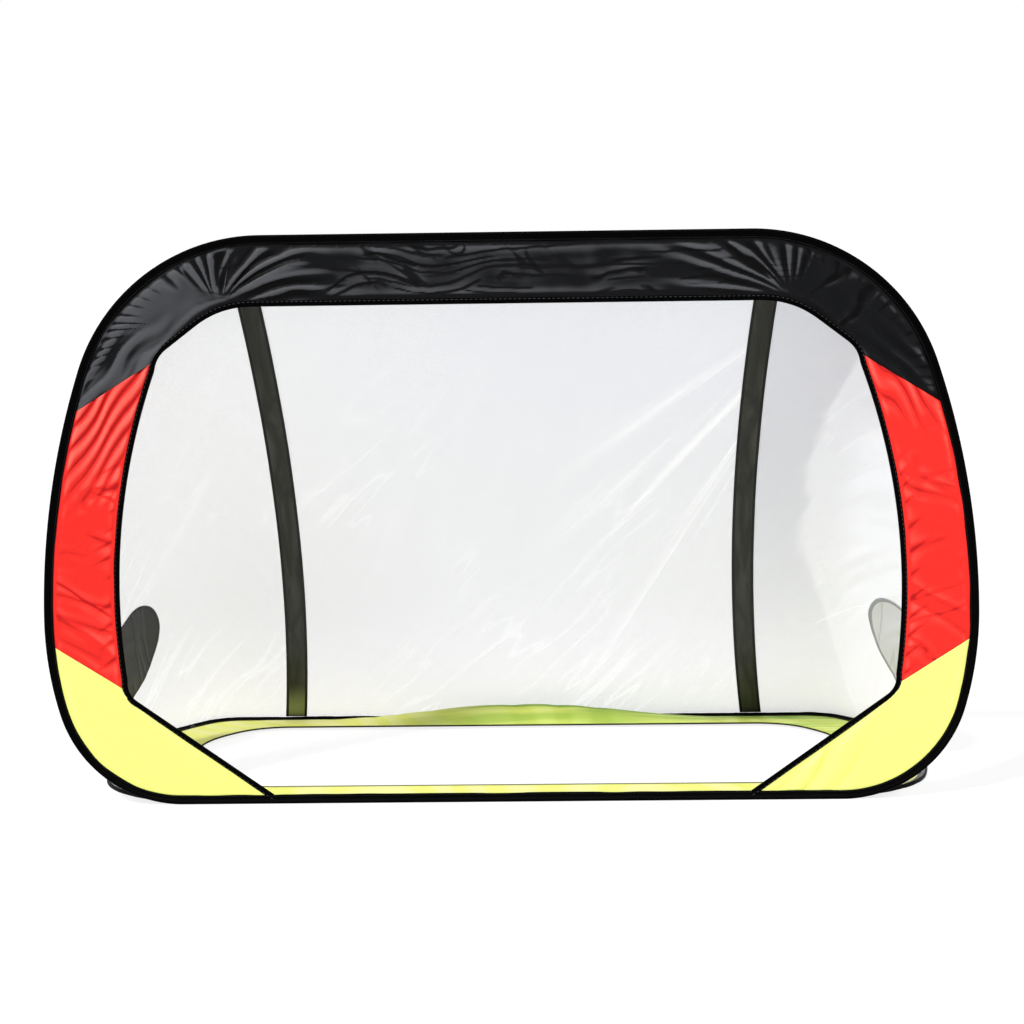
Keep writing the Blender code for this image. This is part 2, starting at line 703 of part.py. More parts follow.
class Canopy:
    """The net between the hoops. A column is a straight line from the back of the standing hoop's
    sleeve to the top of the ground hoop's sleeve, drawn in between its ends."""

    def __init__(self, front, base):
        self.front, self.base = front, base
        half_band = BAND_WIDTH / 2
        self.band_inner = self.over_the_top(BAND_TOP_HALF - half_band, BAND_BACK_HALF - half_band)
        self.band_outer = self.over_the_top(BAND_TOP_HALF + half_band, BAND_BACK_HALF + half_band)
        self.gusset_outer = self.under(BASE_HALF_WIDTH - GUSSET_OUTER_IN)
        self.gusset_inner = self.under(BASE_HALF_WIDTH - GUSSET_INNER_IN)
        self.centre = (front.length, base.length)

    def over_the_top(self, top_x, back_x):
        """Lengths on the upper part of the standing hoop and the back of the ground hoop."""
        top = self.front.length_where(0, top_x, self.front.widest, self.front.length)
        return top, self.base.length_where(0, back_x, self.base.widest, self.base.length)

    def under(self, x):
        """Lengths on the lower part of the standing hoop and the front of the ground hoop."""
        return tuple(hoop.length_where(0, x, 0, hoop.widest) for hoop in (self.front, self.base))

    def column(self, lengths, rows, bow=0.0):
        top = upright(self.front.inset(lengths[0], NET_SEAM_INSET), NET_TOP_Y)
        foot = on_ground(self.base.inset(lengths[1], BULB), NET_FOOT_Z)
        points = [top.lerp(foot, k / rows) for k in range(rows + 1)]
        for k, point in enumerate(points):
            point[0] -= bow * BAND_BOW * 4 * (k / rows) * (1 - k / rows)
        return points

    def columns(self, start, end, steps, rows, bow=lambda along: 0.0):
        """Columns between two pairs of lengths, both ends included."""
        found = []
        for i in range(steps + 1):
            along = i / steps
            lengths = tuple(lerp(a, b, along) for a, b in zip(start, end))
            found.append(self.column(lengths, rows, bow(along)))
        return found


def surface_normals(grid):
    """Outward unit normals of a grid of points, columns running from the centre out and down."""
    normals = []
    for i, column in enumerate(grid):
        before, after = grid[max(i - 1, 0)], grid[min(i + 1, len(grid) - 1)]
        line = []
        for j in range(len(column)):
            down = column[min(j + 1, len(column) - 1)] - column[max(j - 1, 0)]
            line.append((after[j] - before[j]).cross(down).normalized())
        normals.append(line)
    return normals


def with_normals(grid):
    return [list(zip(points, line)) for points, line in zip(grid, surface_normals(grid))]


def net_depth(along, down):
    """How far the net is drawn in from the straight lines between the hoops. along runs from the
    centre of the back, 0, over the band, 1, to the gusset, 2."""
    side = max(along - 1, 0)
    sag = lerp(REAR_SAG, SIDE_SAG, min(side / SIDE_SAG_START, 1))
    ripple = NET_RIPPLE * wave(NET_RIPPLES, NET_RIPPLE_LEAN, along, down) * min(along / NET_RIPPLE_START, 1)
    return (sag * 4 * down * (1 - down) + ripple * sin(pi * down)) * (1 - side**4)


def canopy_grid(canopy):
    """Columns of (point, normal) for the right half's mesh and band, back centre to gusset."""
    rear = canopy.columns(
        canopy.centre, canopy.band_inner, REAR_NET_HALF_STEPS, NET_ROWS, lambda along: along**2
    )
    band = canopy.columns(canopy.band_inner, canopy.band_outer, BAND_STEPS, NET_ROWS, lambda along: 1.0)
    side = canopy.columns(
        canopy.band_outer, canopy.gusset_outer, SIDE_NET_STEPS, NET_ROWS, lambda along: (1 - along) ** 2
    )
    grid = rear + band[1:] + side[1:]
    normals = surface_normals(grid)
    for i, line in enumerate(normals):
        outer = (i - REAR_NET_HALF_STEPS - BAND_STEPS) / SIDE_NET_STEPS
        along = min(i / REAR_NET_HALF_STEPS, 1) + max(outer, 0)
        for j, normal in enumerate(line):
            grid[i][j] -= normal * net_depth(along, j / NET_ROWS)
    return with_normals(grid)


def make_net(canopy, materials, parent):
    grid = canopy_grid(canopy)
    band_start, band_end = REAR_NET_HALF_STEPS, REAR_NET_HALF_STEPS + BAND_STEPS
    rear = draw_apart(both_halves(grid[: band_start + 1]))
    make_node("net_rear", sheet(rear, NET), materials["net"], parent)
    band = draw_apart(grid[band_start : band_end + 1])
    side = draw_apart(grid[band_end:])
    gusset_lines = canopy.columns(canopy.gusset_outer, canopy.gusset_inner, GUSSET_STEPS, GUSSET_ROWS)
    gusset = draw_apart(with_normals(gusset_lines))
    for name, columns, kind in (
        ("rear_band", band, "band"),
        ("net", side, "net"),
        ("corner_gusset", gusset, "black"),
    ):
        make_node(f"{name}_right", sheet(columns, NET), materials[kind], parent)
        left = turned_columns(columns, mirrored)
        make_node(f"{name}_left", sheet(left, NET), materials[kind], parent)
    hinge_lines = canopy.columns((0.0, 0.0), canopy.gusset_inner, STRAIGHT_STEPS, 1)
    hinge = draw_apart(both_halves(with_normals(hinge_lines)))
    make_node("hinge_tape", sheet(hinge, NET), materials["black"], parent)
    make_patches(side, materials, parent)


def patch_place(side):
    """The point and normal of the side net where the patch is centred."""
    column = side[round(PATCH_ALONG * (len(side) - 1))]
    for (above, normal), (below, _) in zip(column, column[1:]):
        if above[2] >= PATCH_HEIGHT > below[2]:
            t = (above[2] - PATCH_HEIGHT) / (above[2] - below[2])
            return above.lerp(below, t), normal
    return column[-1]


def make_patches(side, materials, parent):
    """Round patches that lie on the inside of the side nets: the net's own surface, moved in and
    cut round."""
    inside = NET / 2 + CLEARANCE + PATCH / 2
    place, normal = patch_place(side)
    for name, turn in (("right", Vector), ("left", mirrored)):
        columns = [[(turn(p - n * inside), turn(n)) for p, n in column] for column in side]
        patch = make_node(f"side_patch_{name}", sheet(columns, PATCH), materials["patch"], parent)
        cutter = make_round_cutter(f"patch_cutter_{name}", turn(place), turn(normal), parent)
        cut = patch.modifiers.new("round", "BOOLEAN")
        cut.operation = "INTERSECT"
        cut.solver = "EXACT"
        cut.object = cutter


def make_round_cutter(name, place, axis, parent):
    mesh = bpy.data.meshes.new(name)
    build = bmesh.new()
    bmesh.ops.create_cone(
        build,
        cap_ends=True,
        segments=PATCH_SEGMENTS,
        radius1=PATCH_RADIUS,
        radius2=PATCH_RADIUS,
        depth=PATCH_RADIUS,
    )
    build.to_mesh(mesh)
    build.free()
    cutter = bpy.data.objects.new(name, mesh)
    cutter.parent = parent
    cutter.location = place - parent.location
    cutter.rotation_euler = axis.to_track_quat("Z", "Y").to_euler()
    cutter.hide_render = True
    cutter.display_type = "WIRE"
    bpy.context.scene.collection.objects.link(cutter)
    return cutter


def y_range():
    """The front and back of all the pieces in the goal's frame."""
    found = []
    for obj in bpy.data.objects:
        if obj.type == "MESH" and not obj.hide_render:
            found += [v.co.y + obj.parent.location.y for v in obj.data.vertices]
    return min(found), max(found)


def build():
    clear_scene()
    materials = make_materials()
    goal = make_empty("goal", (0, 0, 0))
    ground = make_empty("ground_frame", (0, 0, 0), goal)
    fold_axis = make_empty("front_fold_axis", (0, HINGE_Y, HINGE_Z), goal)
    front, base, hem = front_hoop(), base_hoop(), hem_loop()
    mouth = Mouth(front)

    make_hoop("front", plane_frames(front, upright, Vector((0, 1, 0))), 0.0, materials, fold_axis)
    make_front_cloth(front, mouth, materials, fold_axis)
    make_mouth_binding(mouth, materials, fold_axis)

    bulb_level = plane_frames(base, lambda p: on_ground(p, BULB), Vector((0, 0, 1)))
    make_hoop("base", bulb_level, GROUND_CLOTH_LEVEL - BULB, materials, ground)
    make_ground_cloth(base, hem, materials, ground)
    make_net(Canopy(front, base), materials, ground)

    front_y, back_y = y_range()
    goal.location.y = -(front_y + back_y) / 2
    print(f"depth {back_y - front_y:.5f}, hinge axis at y {HINGE_Y + goal.location.y:.5f}, z {HINGE_Z:.5f}")


if __name__ == "__main__":
    build()
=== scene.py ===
# %% [markdown]
# A pop-up goal is two loops of spring steel, each sewn into a black cloth sleeve. One loop stands and
# frames the mouth, the other lies on the ground behind it. Nylon cloth fills the space between the
# standing loop and the mouth, a fine white mesh runs back to the ground loop, and a ring of yellow
# cloth lies inside the ground loop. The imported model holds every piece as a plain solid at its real
# size. This script gives each one its finish, and sews new cloth over the solids of the soft ones.

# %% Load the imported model
import json
import math

import bmesh
import bpy
import numpy as np
from mathutils import Matrix, Vector
from mathutils.bvhtree import BVHTree


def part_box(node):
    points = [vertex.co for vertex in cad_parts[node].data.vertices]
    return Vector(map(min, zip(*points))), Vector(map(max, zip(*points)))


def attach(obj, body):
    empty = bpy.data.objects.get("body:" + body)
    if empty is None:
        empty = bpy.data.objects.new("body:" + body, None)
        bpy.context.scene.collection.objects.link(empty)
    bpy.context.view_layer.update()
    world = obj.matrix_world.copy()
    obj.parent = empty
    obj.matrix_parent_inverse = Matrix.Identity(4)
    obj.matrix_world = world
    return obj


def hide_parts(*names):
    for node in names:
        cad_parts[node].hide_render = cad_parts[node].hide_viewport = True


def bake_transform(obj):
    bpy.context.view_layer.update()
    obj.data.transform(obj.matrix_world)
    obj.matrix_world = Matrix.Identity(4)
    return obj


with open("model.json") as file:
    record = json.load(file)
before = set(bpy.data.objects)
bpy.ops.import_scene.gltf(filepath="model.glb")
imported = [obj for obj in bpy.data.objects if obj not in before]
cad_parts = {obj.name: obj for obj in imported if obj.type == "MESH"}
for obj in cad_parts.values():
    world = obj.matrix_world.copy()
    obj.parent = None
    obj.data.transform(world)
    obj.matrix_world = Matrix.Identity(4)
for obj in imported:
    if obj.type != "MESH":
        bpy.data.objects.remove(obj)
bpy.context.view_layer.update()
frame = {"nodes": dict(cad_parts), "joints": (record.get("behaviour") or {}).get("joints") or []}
hinge = Vector(frame["joints"][0]["pos_m"])
print("pieces in the frame:", len(frame["nodes"]), "hinge at", tuple(round(v, 4) for v in hinge))

# %% [markdown]
# The two hoops are the same kind of shape: a straight, four arcs that run into each other, and a
# straight, mirrored about the middle. Writing them as arcs keeps the curves truly round at any number
# of points. The hoops' heights, depth and places are read from the frame, and the half widths and
# the arcs' own values are given here.

# %% Sizes of the two hoops
front_low, front_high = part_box("front_hoop_sleeve")
base_low, base_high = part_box("base_hoop_sleeve")
FRONT_PLANE = (front_low.y + front_high.y) / 2
FRONT_HEIGHT = front_high.z - front_low.z
FRONT_HALF_WIDTH = 0.900
BASE_FRONT = base_low.y
BASE_DEPTH = base_high.y - base_low.y
BASE_HALF_WIDTH = 0.838
BULB = (base_high.z - base_low.z) / 2
SLEEVE_WIDTH = 0.018
SLEEVE_LEG = 0.0019
RING_FRONT, RING_SIDE, RING_BACK = 0.124, 0.144, 0.127
print(f"front plane y {FRONT_PLANE:.4f}, height {FRONT_HEIGHT:.3f}, base depth {BASE_DEPTH:.3f}")


# %% A hoop made of arcs
def lerp(a, b, t):
    return a + (b - a) * t


class Hoop:
    """The right half of a loop, walked from its bottom centre: a straight, four arcs, a straight.
    turns are those of the foot, the side and the shoulder, in degrees, and the corner turns the rest
    of the way. radii are those of the foot, the shoulder and the corner, and the side's follows."""

    def __init__(self, half_width, height, turns, radii):
        foot, side, shoulder = (math.radians(turn) for turn in turns)
        turns = (foot, side, shoulder, math.pi - foot - side - shoulder)
        ends = [sum(turns[:i]) for i in range(5)]
        rises = [math.cos(a) - math.cos(b) for a, b in zip(ends, ends[1:])]
        others = radii[0] * rises[0] + radii[1] * rises[2] + radii[2] * rises[3]
        side_radius = (height - others) / rises[1]
        bottom = half_width - radii[0] * math.sin(ends[1]) - side_radius * (1 - math.sin(ends[1]))
        x, v = bottom, 0.0
        self.pieces = [(0.0, 0.0, 0.0, 0.0, bottom)]
        for radius, start, turn in zip((radii[0], side_radius, *radii[1:]), ends, turns):
            self.pieces.append((x, v, start, radius, radius * turn))
            x += radius * (math.sin(start + turn) - math.sin(start))
            v += radius * (math.cos(start) - math.cos(start + turn))
        self.pieces.append((x, height, math.pi, 0.0, x))
        self.starts = [sum(piece[4] for piece in self.pieces[:i]) for i in range(len(self.pieces))]
        self.length = sum(piece[4] for piece in self.pieces)
        self.widest = self.starts[2] + side_radius * (math.pi / 2 - ends[1])

    def at(self, s):
        """The outer edge's place at the length s, and the unit vector that points inwards."""
        index = max(i for i, start in enumerate(self.starts) if s >= start - 1e-9)
        x, v, turn, radius, _ = self.pieces[index]
        along = s - self.starts[index]
        if radius:
            turned, turn = turn, turn + along / radius
            x += radius * (math.sin(turn) - math.sin(turned))
            v += radius * (math.cos(turned) - math.cos(turn))
        else:
            x += along * math.cos(turn)
        return (x, v), (-math.sin(turn), math.cos(turn))

    def inset(self, lengths, depth=0.0):
        """Places at many lengths, moved inwards by a depth, as an array."""
        found = np.array([self.at(s) for s in lengths])
        return found[:, 0] + found[:, 1] * depth

    def length_where(self, axis, value, low, high):
        """The length between low and high where a coordinate reaches a value, by halving."""
        rises = self.at(high)[0][axis] > self.at(low)[0][axis]
        for _ in range(50):
            middle = (low + high) / 2
            if (self.at(middle)[0][axis] < value) == rises:
                low = middle
            else:
                high = middle
        return low

    def round_trip(self, step):
        """Places and inward vectors all the way round, about a step apart, from the bottom centre."""
        lengths = np.linspace(0, self.length, round(self.length / step) + 1)
        right = np.array([self.at(s) for s in lengths])
        left = right[-2:0:-1] * np.array([-1, 1])
        both = np.concatenate([right, left])
        return both[:, 0], both[:, 1]


FRONT_TURNS, BASE_TURNS = (74, 16.5, 18), (80.5, 19, 27.5)
FRONT_RADII, BASE_RADII, HEM_RADII = (0.246, 1.550, 0.372), (0.249, 0.632, 0.100), (0.220, 0.400, 0.130)
hem_half_width, hem_depth = BASE_HALF_WIDTH - RING_SIDE, BASE_DEPTH - RING_FRONT - RING_BACK
front_hoop = Hoop(FRONT_HALF_WIDTH, FRONT_HEIGHT, FRONT_TURNS, FRONT_RADII)
base_hoop = Hoop(BASE_HALF_WIDTH, BASE_DEPTH, BASE_TURNS, BASE_RADII)
hem_loop = Hoop(hem_half_width, hem_depth, BASE_TURNS, HEM_RADII)
print(f"half lengths: front {front_hoop.length:.3f} m, base {base_hoop.length:.3f} m")

# %% [markdown]
# The mouth's edge is a chain of straights with rounded corners. Its sides bow outwards a little,
# because the net pulls at them. Each stretch of it faces one piece of cloth.


# %% The mouth's edge
MOUTH_FOOT = np.array([FRONT_HALF_WIDTH - 0.438, SLEEVE_WIDTH + 0.0003])
MOUTH_HIP = np.array([FRONT_HALF_WIDTH - 0.156, 0.218])
MOUTH_SHOULDER = np.array([FRONT_HALF_WIDTH - 0.230, FRONT_HEIGHT - 0.231])
MOUTH_TOP = np.array([FRONT_HALF_WIDTH - 0.355, FRONT_HEIGHT - 0.136])
MOUTH_SIDE_BOW = 0.037
CORNER_REACH, TOP_REACH = 0.026, 0.060
CORNER_POINTS, EDGE_POINTS = 8, 61
MIRROR = np.array([-1, 1])
SIDES = (("right", 1), ("left", -1))


def rounded(a, b, c, t):
    return a * (1 - t) ** 2 + b * 2 * t * (1 - t) + c * t**2


def mouth_stretch(before, start, end, after, bow, reaches=(CORNER_REACH, CORNER_REACH)):
    """Points from the middle of one rounded corner to the middle of the next. reaches are how far
    the two corners' rounding goes."""
    along = (end - start) / np.linalg.norm(end - start)
    outwards = np.array([along[1], -along[0]])
    first = start if before is None else start + along * reaches[0]
    last = end if after is None else end - along * reaches[1]
    points = []
    if before is not None:
        behind = start + (before - start) / np.linalg.norm(before - start) * reaches[0]
        points += [rounded(behind, start, first, t) for t in np.linspace(0.5, 0.95, CORNER_POINTS)]
    for t in np.linspace(0, 1, EDGE_POINTS):
        points.append(lerp(first, last, t) + outwards * bow * 4 * t * (1 - t))
    if after is not None:
        ahead = end + (after - end) / np.linalg.norm(after - end) * reaches[1]
        points += [rounded(last, end, ahead, t) for t in np.linspace(0.05, 0.5, CORNER_POINTS)]
    return np.array(points)


top_centre = np.array([0.0, MOUTH_TOP[1]])
mouth_stretches = [
    mouth_stretch(None, MOUTH_FOOT, MOUTH_HIP, MOUTH_SHOULDER, 0),
    mouth_stretch(MOUTH_FOOT, MOUTH_HIP, MOUTH_SHOULDER, MOUTH_TOP, MOUTH_SIDE_BOW),
    mouth_stretch(MOUTH_HIP, MOUTH_SHOULDER, MOUTH_TOP, top_centre, 0, (CORNER_REACH, TOP_REACH)),
    mouth_stretch(MOUTH_SHOULDER, MOUTH_TOP, top_centre, None, 0, (TOP_REACH, TOP_REACH)),
]


def resample(points, count):
    """The same line with its points spread evenly."""
    steps = np.linalg.norm(np.diff(points, axis=0), axis=1)
    lengths = np.concatenate([[0], np.cumsum(steps)])
    wanted = np.linspace(0, lengths[-1], count)
    return np.stack([np.interp(wanted, lengths, points[:, k]) for k in range(points.shape[1])], 1)


YELLOW_SEAM_HEIGHT = 0.314
RED_SEAM_HEIGHT = FRONT_HEIGHT - 0.335
BAND_SEAM_X = FRONT_HALF_WIDTH - 0.380
rising = (front_hoop.starts[1], front_hoop.starts[5])
seams = [
    MOUTH_FOOT[0],
    front_hoop.length_where(1, YELLOW_SEAM_HEIGHT, *rising),
    front_hoop.length_where(1, RED_SEAM_HEIGHT, *rising),
    front_hoop.length_where(0, BAND_SEAM_X, front_hoop.widest, front_hoop.length),
    front_hoop.length,
]
print("seams of the front cloth along the hoop:", [round(s, 3) for s in seams])

# %% [markdown]
# Every cloth here is a grid of points, so one helper turns a grid into a mesh. It also stores a map
# in metres on the mesh, so that a weave keeps its real size and follows the cloth round its curves.


# %% Grids into meshes
def grid_object(name, points, material, wrap=(False, False), flip=False):
    """A mesh from an array of (columns, rows, 3) points. wrap joins the last column or row to the
    first. The map holds the lengths along and across, in metres."""
    columns, rows = points.shape[:2]
    i, j = np.meshgrid(
        np.arange(columns - (not wrap[0])), np.arange(rows - (not wrap[1])), indexing="ij"
    )
    i, j = i.ravel(), j.ravel()
    corners = [(i, j), (i + 1, j), (i + 1, j + 1), (i, j + 1)]
    if flip:
        corners = corners[::-1]
    faces = np.stack([(a % columns) * rows + b % rows for a, b in corners], 1)
    mesh = bpy.data.meshes.new(name)
    mesh.from_pydata(points.reshape(-1, 3).tolist(), [], faces.tolist())
    lengthwise = np.concatenate([points, points[:1]]) if wrap[0] else points
    crosswise = np.concatenate([points, points[:, :1]], 1) if wrap[1] else points
    long = np.linalg.norm(np.diff(lengthwise, axis=0), axis=2).mean(1)
    wide = np.linalg.norm(np.diff(crosswise, axis=1), axis=2).mean(0)
    long, wide = np.concatenate([[0], np.cumsum(long)]), np.concatenate([[0], np.cumsum(wide)])
    uv = np.stack([np.stack([long[a], wide[b]], 1) for a, b in corners], 1)
    mesh.uv_layers.new(name="cloth").data.foreach_set("uv", uv.ravel().astype(np.float32))
    mesh.shade_smooth()
    mesh.materials.append(material)
    made = bpy.data.objects.new(name, mesh)
    bpy.context.scene.collection.objects.link(made)
    return made


def store(piece, name, values):
    """Keeps one number per point on a mesh, for its material to read."""
    kept = piece.data.attributes.new(name, "FLOAT", "POINT")
    kept.data.foreach_set("value", values.ravel().astype(np.float32))


def thicken(piece, thickness):
    """Gives a single layer of cloth its thickness, half to each side."""
    wall = piece.modifiers.new("thickness", "SOLIDIFY")
    wall.thickness = thickness
    wall.offset = 0


def grid_area(points):
    """The area of a grid of points."""
    a, b = points[1:, 1:] - points[:-1, :-1], points[1:, :-1] - points[:-1, 1:]
    return float(np.linalg.norm(np.cross(a, b), axis=2).sum() / 2)


# %% [markdown]
# Nodes are easier to read as sums than as boxes and wires. The first class below wraps a node's
# value, so that adding or multiplying two values adds the Math node that does it. Every other node
# comes from one method, which sets the node's own settings first and then feeds its sockets. The
# materials use both, and so do the Geometry Nodes further down.


# %% Nodes that are written as sums
class Shade:
    """A value in a node tree that Python's operators work on."""

    def __init__(self, nodes, socket):
        self.nodes, self.socket = nodes, socket

    def maths(self, operation, *values, first=None):
        inputs = dict(enumerate([self if first is None else first, *values]))
        return self.nodes.node("Math", {"operation": operation}, inputs)

    def __add__(self, other):
        return self.maths("ADD", other)

    def __sub__(self, other):
        return self.maths("SUBTRACT", other)

    def __rsub__(self, other):
        return self.maths("SUBTRACT", self, first=other)

    def __mul__(self, other):
        return self.maths("MULTIPLY", other)

    def __truediv__(self, other):
        return self.maths("DIVIDE", other)

    def __pow__(self, other):
        return self.maths("POWER", other)

    def sine(self):
        return self.maths("SINE")

    def size(self):
        return self.maths("ABSOLUTE")

    def at_most(self, other):
        return self.maths("MINIMUM", other)

    def between(self, low, high):
        """0 below low, 1 above high, and smooth between them."""
        settings = {"interpolation_type": "SMOOTHSTEP"}
        return self.nodes.node("MapRange", settings, {"Value": self, "From Min": low, "From Max": high})

    __radd__ = __add__
    __rmul__ = __mul__


class Nodes:
    """A node tree, with one method that adds a node and one that feeds a socket."""

    def __init__(self, tree):
        self.tree = tree

    def feed(self, socket, value):
        if isinstance(value, Shade):
            self.tree.links.new(value.socket, socket)
        elif isinstance(value, tuple) and len(value) == 3 and socket.type == "RGBA":
            socket.default_value = (*value, 1)
        else:
            socket.default_value = value

    def node(self, kind, settings=None, sockets=None, output=0):
        """Adds a node and gives one of its outputs. Shader nodes go by their short names."""
        made = self.tree.nodes.new(kind if "Node" in kind else "ShaderNode" + kind)
        for name, value in (settings or {}).items():
            setattr(made, name, value)
        for name, value in (sockets or {}).items():
            self.feed(made.inputs[name], value)
        return Shade(self, made.outputs[output])

    def parts(self, spot, count=3):
        """The first parts of a place, as single values."""
        return [self.node("SeparateXYZ", None, {0: spot}, output=k) for k in range(count)]

    def joined(self, x, y, z=0.0):
        """A place from single values."""
        return self.node("CombineXYZ", None, {0: x, 1: y, 2: z})


MIX_SHARE, MIX_FIRST, MIX_SECOND, MIX_COLOUR = 0, 6, 7, 2


class Paint(Nodes):
    def __init__(self, name):
        self.material = bpy.data.materials.new(name)
        self.material.use_nodes = True
        super().__init__(self.material.node_tree)
        self.shader = self.tree.nodes["Principled BSDF"]

    def place(self):
        """The place on the goal, in metres, as three values."""
        return self.parts(self.node("TexCoord", output="Object"))

    def rest_place(self):
        """The place before the goal folds, kept at each point, so that the looks fold with the cloth."""
        return self.parts(self.node("Attribute", {"attribute_name": "rest_place"}, output="Vector"))

    def map(self):
        """The lengths along and across the cloth, in metres."""
        return self.parts(self.node("UVMap", {"uv_map": "cloth"}), 2)

    def stored(self, name):
        """A number that the mesh keeps at each point."""
        return self.node("Attribute", {"attribute_name": name}, output="Fac")

    def noise(self, spot, scale, detail=2.0, distortion=0.0):
        """Lumpy noise from 0 to 1, scale lumps to the metre."""
        sockets = {"Vector": spot, "Scale": scale, "Detail": detail, "Roughness": 0.5}
        return self.node("TexNoise", None, {**sockets, "Distortion": distortion})

    def mix(self, share, first, second):
        """A share of the second colour in the first."""
        sockets = {MIX_SHARE: share, MIX_FIRST: first, MIX_SECOND: second}
        return self.node("Mix", {"data_type": "RGBA"}, sockets, output=MIX_COLOUR)

    def bump(self, height, distance):
        """A bump whose height runs from 0 to 1 over this distance."""
        return self.node("Bump", None, {"Height": height, "Distance": distance, "Strength": 1.0})

    def finish(self, **sockets):
        for name, value in sockets.items():
            self.feed(self.shader.inputs[name.replace("_", " ")], value)
        return self.material


# %% [markdown]
# Coated nylon is a plain weave of very fine threads under a thin film. From a step away the threads
# vanish, and what is left is small creases, a soft shine on the folds and shade in the valleys. The
# cloth's mesh keeps how high each point stands above its surroundings, from 0 in a sharp valley over
# 0.5 to 1 on a ridge. The valleys are painted darker, as painted shade, and the ridges paler, as a
# painted highlight.

# %% Nylon cloth
NYLON_THREAD_PITCH = 0.0011
NYLON_THREADS = 2 * math.pi / NYLON_THREAD_PITCH


def nylon(name, colour, deep, ridge_highlight, roughness, crease=0.0010, gloss=0.3):
    """Coated nylon. deep is the painted shade in the valleys, the ridges take a painted highlight, and
    crease is the depth of the small creases."""
    paint = Paint(name)
    along, across = paint.map()
    spot = paint.joined(along, across)
    weave = (along * NYLON_THREADS).sine() * (across * NYLON_THREADS).sine()
    lumps = paint.noise(spot, 9, detail=3)
    creases = 1 - (paint.noise(spot, 24, detail=2, distortion=0.8) * 2 - 1).size() * 4
    height = creases.between(0, 1) * 0.4 + lumps * 0.6 + weave * 0.03
    relief = paint.stored("relief") + lumps * 0.16 - 0.08
    # Painted shade: the valleys take the deep colour. Painted highlight: the ridges take the paler colour.
    body = paint.mix(relief.between(0.08, 0.46), deep, colour)
    return paint.finish(
        Base_Color=paint.mix(relief.between(0.52, 0.98), body, ridge_highlight),
        Roughness=lumps * 0.12 + (roughness - 0.06),
        Normal=paint.bump(height, crease),
        Specular_IOR_Level=gloss,
    )


# In each nylon below, the valley colour is painted shade and the ridge colour is a painted highlight.
black = nylon(
    "coated_black",
    colour=(0.0042, 0.0044, 0.0052),
    deep=(0.0002, 0.0002, 0.0002),
    ridge_highlight=(0.080, 0.081, 0.086),
    roughness=0.34,
    gloss=0.07,
)
red = nylon(
    "coated_red",
    colour=(0.86, 0.022, 0.015),
    deep=(0.46, 0.003, 0.003),
    ridge_highlight=(1.0, 0.15, 0.11),
    roughness=0.46,
    gloss=0.18,
)
yellow = nylon(
    "coated_yellow",
    colour=(0.90, 0.94, 0.225),
    deep=(0.78, 0.84, 0.16),
    ridge_highlight=(0.94, 1.0, 0.34),
    roughness=0.52,
    crease=0.0006,
)
print("nylon finishes:", black.name, red.name, yellow.name)

# %% [markdown]
# Binding tape is a narrow ribbed ribbon, folded over an edge and sewn down. Its ribs run across it,
# so the bump is a sine of the length along the tape.

# %% Tape, thread, mesh, bands, patches and steel
TAPE_RIB_PITCH, MESH_THREAD_PITCH = 0.0012, 0.0024
TAPE_RIBS, MESH_THREADS = 2 * math.pi / TAPE_RIB_PITCH, 2 * math.pi / MESH_THREAD_PITCH
UNDER_MOUTH = (-0.36, -0.30)


def tape(name, colour, roughness, gloss=0.15, front=None):
    """Ribbed tape. front is its colour on the side that lies under the mouth, if that differs."""
    paint = Paint(name)
    along, across = paint.map()
    ribs = (along * TAPE_RIBS).sine() * 0.5 + 0.5
    lumps = paint.noise(paint.joined(along, across), 30, detail=3)
    deep = tuple(c * 0.5 for c in colour)
    body = paint.mix(lumps.between(0.3, 0.7), deep, colour)
    if front:
        body = paint.mix(paint.place()[1].between(*UNDER_MOUTH), front, body)
    return paint.finish(
        Base_Color=body,
        Roughness=roughness,
        Normal=paint.bump(ribs * 0.2 + lumps, 0.0006),
        Specular_IOR_Level=gloss,
    )


STREAK_LEAN = math.radians(48)
STREAKS_ACROSS, STREAKS_ALONG, STREAK_THINNESS = 15, 2.2, 13
FAN_X, FAN_Z = 0.62, 1.02
SUN_REACH, SUN_BEND, SUN_SLOPE, SUN_MIDDLE = 0.440, 0.25, 0.87, 0.55
# Beside the net's white: its painted shade colours, the painted light near the ground, and the painted
# highlight of its creases.
MESH_WHITE, MESH_UPPER_SHADE, MESH_SHADED = (0.955, 0.968, 0.98), (0.80, 0.83, 0.92), (0.70, 0.72, 0.79)
MESH_LIGHT_LOW, MESH_CREASE_HIGHLIGHT = (1.0, 0.94, 1.0), (1.0, 1.0, 1.0)


def thin_streaks(paint, x, y, z):
    """Streaks that rise to the right where the net is pulled: the noise, its patches and the lines. The
    lines are painted as highlights along the net's creases.
    """
    level, rise = x * 1.2, z * 0.77 - y * 0.63
    sideways = level * math.sin(STREAK_LEAN) - rise * math.cos(STREAK_LEAN)
    forward = level * math.cos(STREAK_LEAN) + rise * math.sin(STREAK_LEAN)
    spot = paint.joined(sideways * STREAKS_ACROSS, forward * STREAKS_ALONG)
    streaks = paint.noise(spot, 1, detail=1)
    thin = 1 - (streaks * 2 - 1).size() * STREAK_THINNESS
    patches = paint.noise(paint.joined(x, y, z), 2.6, detail=1)
    lower = 1 - z.between(0.45, 0.85)
    lines = thin.between(0, 1) * patches.between(0.44, 0.66) * (lower * 0.45 + 0.10)
    return streaks * patches, lines


def fanned_streaks(paint, x, z):
    """Broad streaks that fan out to the left from the top of the right band. They are painted as
    highlights, and they also raise the net's bump.
    """
    below, left = FAN_Z - z, FAN_X - x
    turn = below / (left.size() + 0.05)
    streaks = paint.noise(paint.joined(turn * 7, left * 1.5), 1, detail=2)
    window = turn.between(0.45, 0.85) * (1 - turn.between(1.9, 2.6)) * (1 - left.between(0.22, 0.62))
    return streaks.between(0.50, 0.68) * window * left.between(0.10, 0.16)


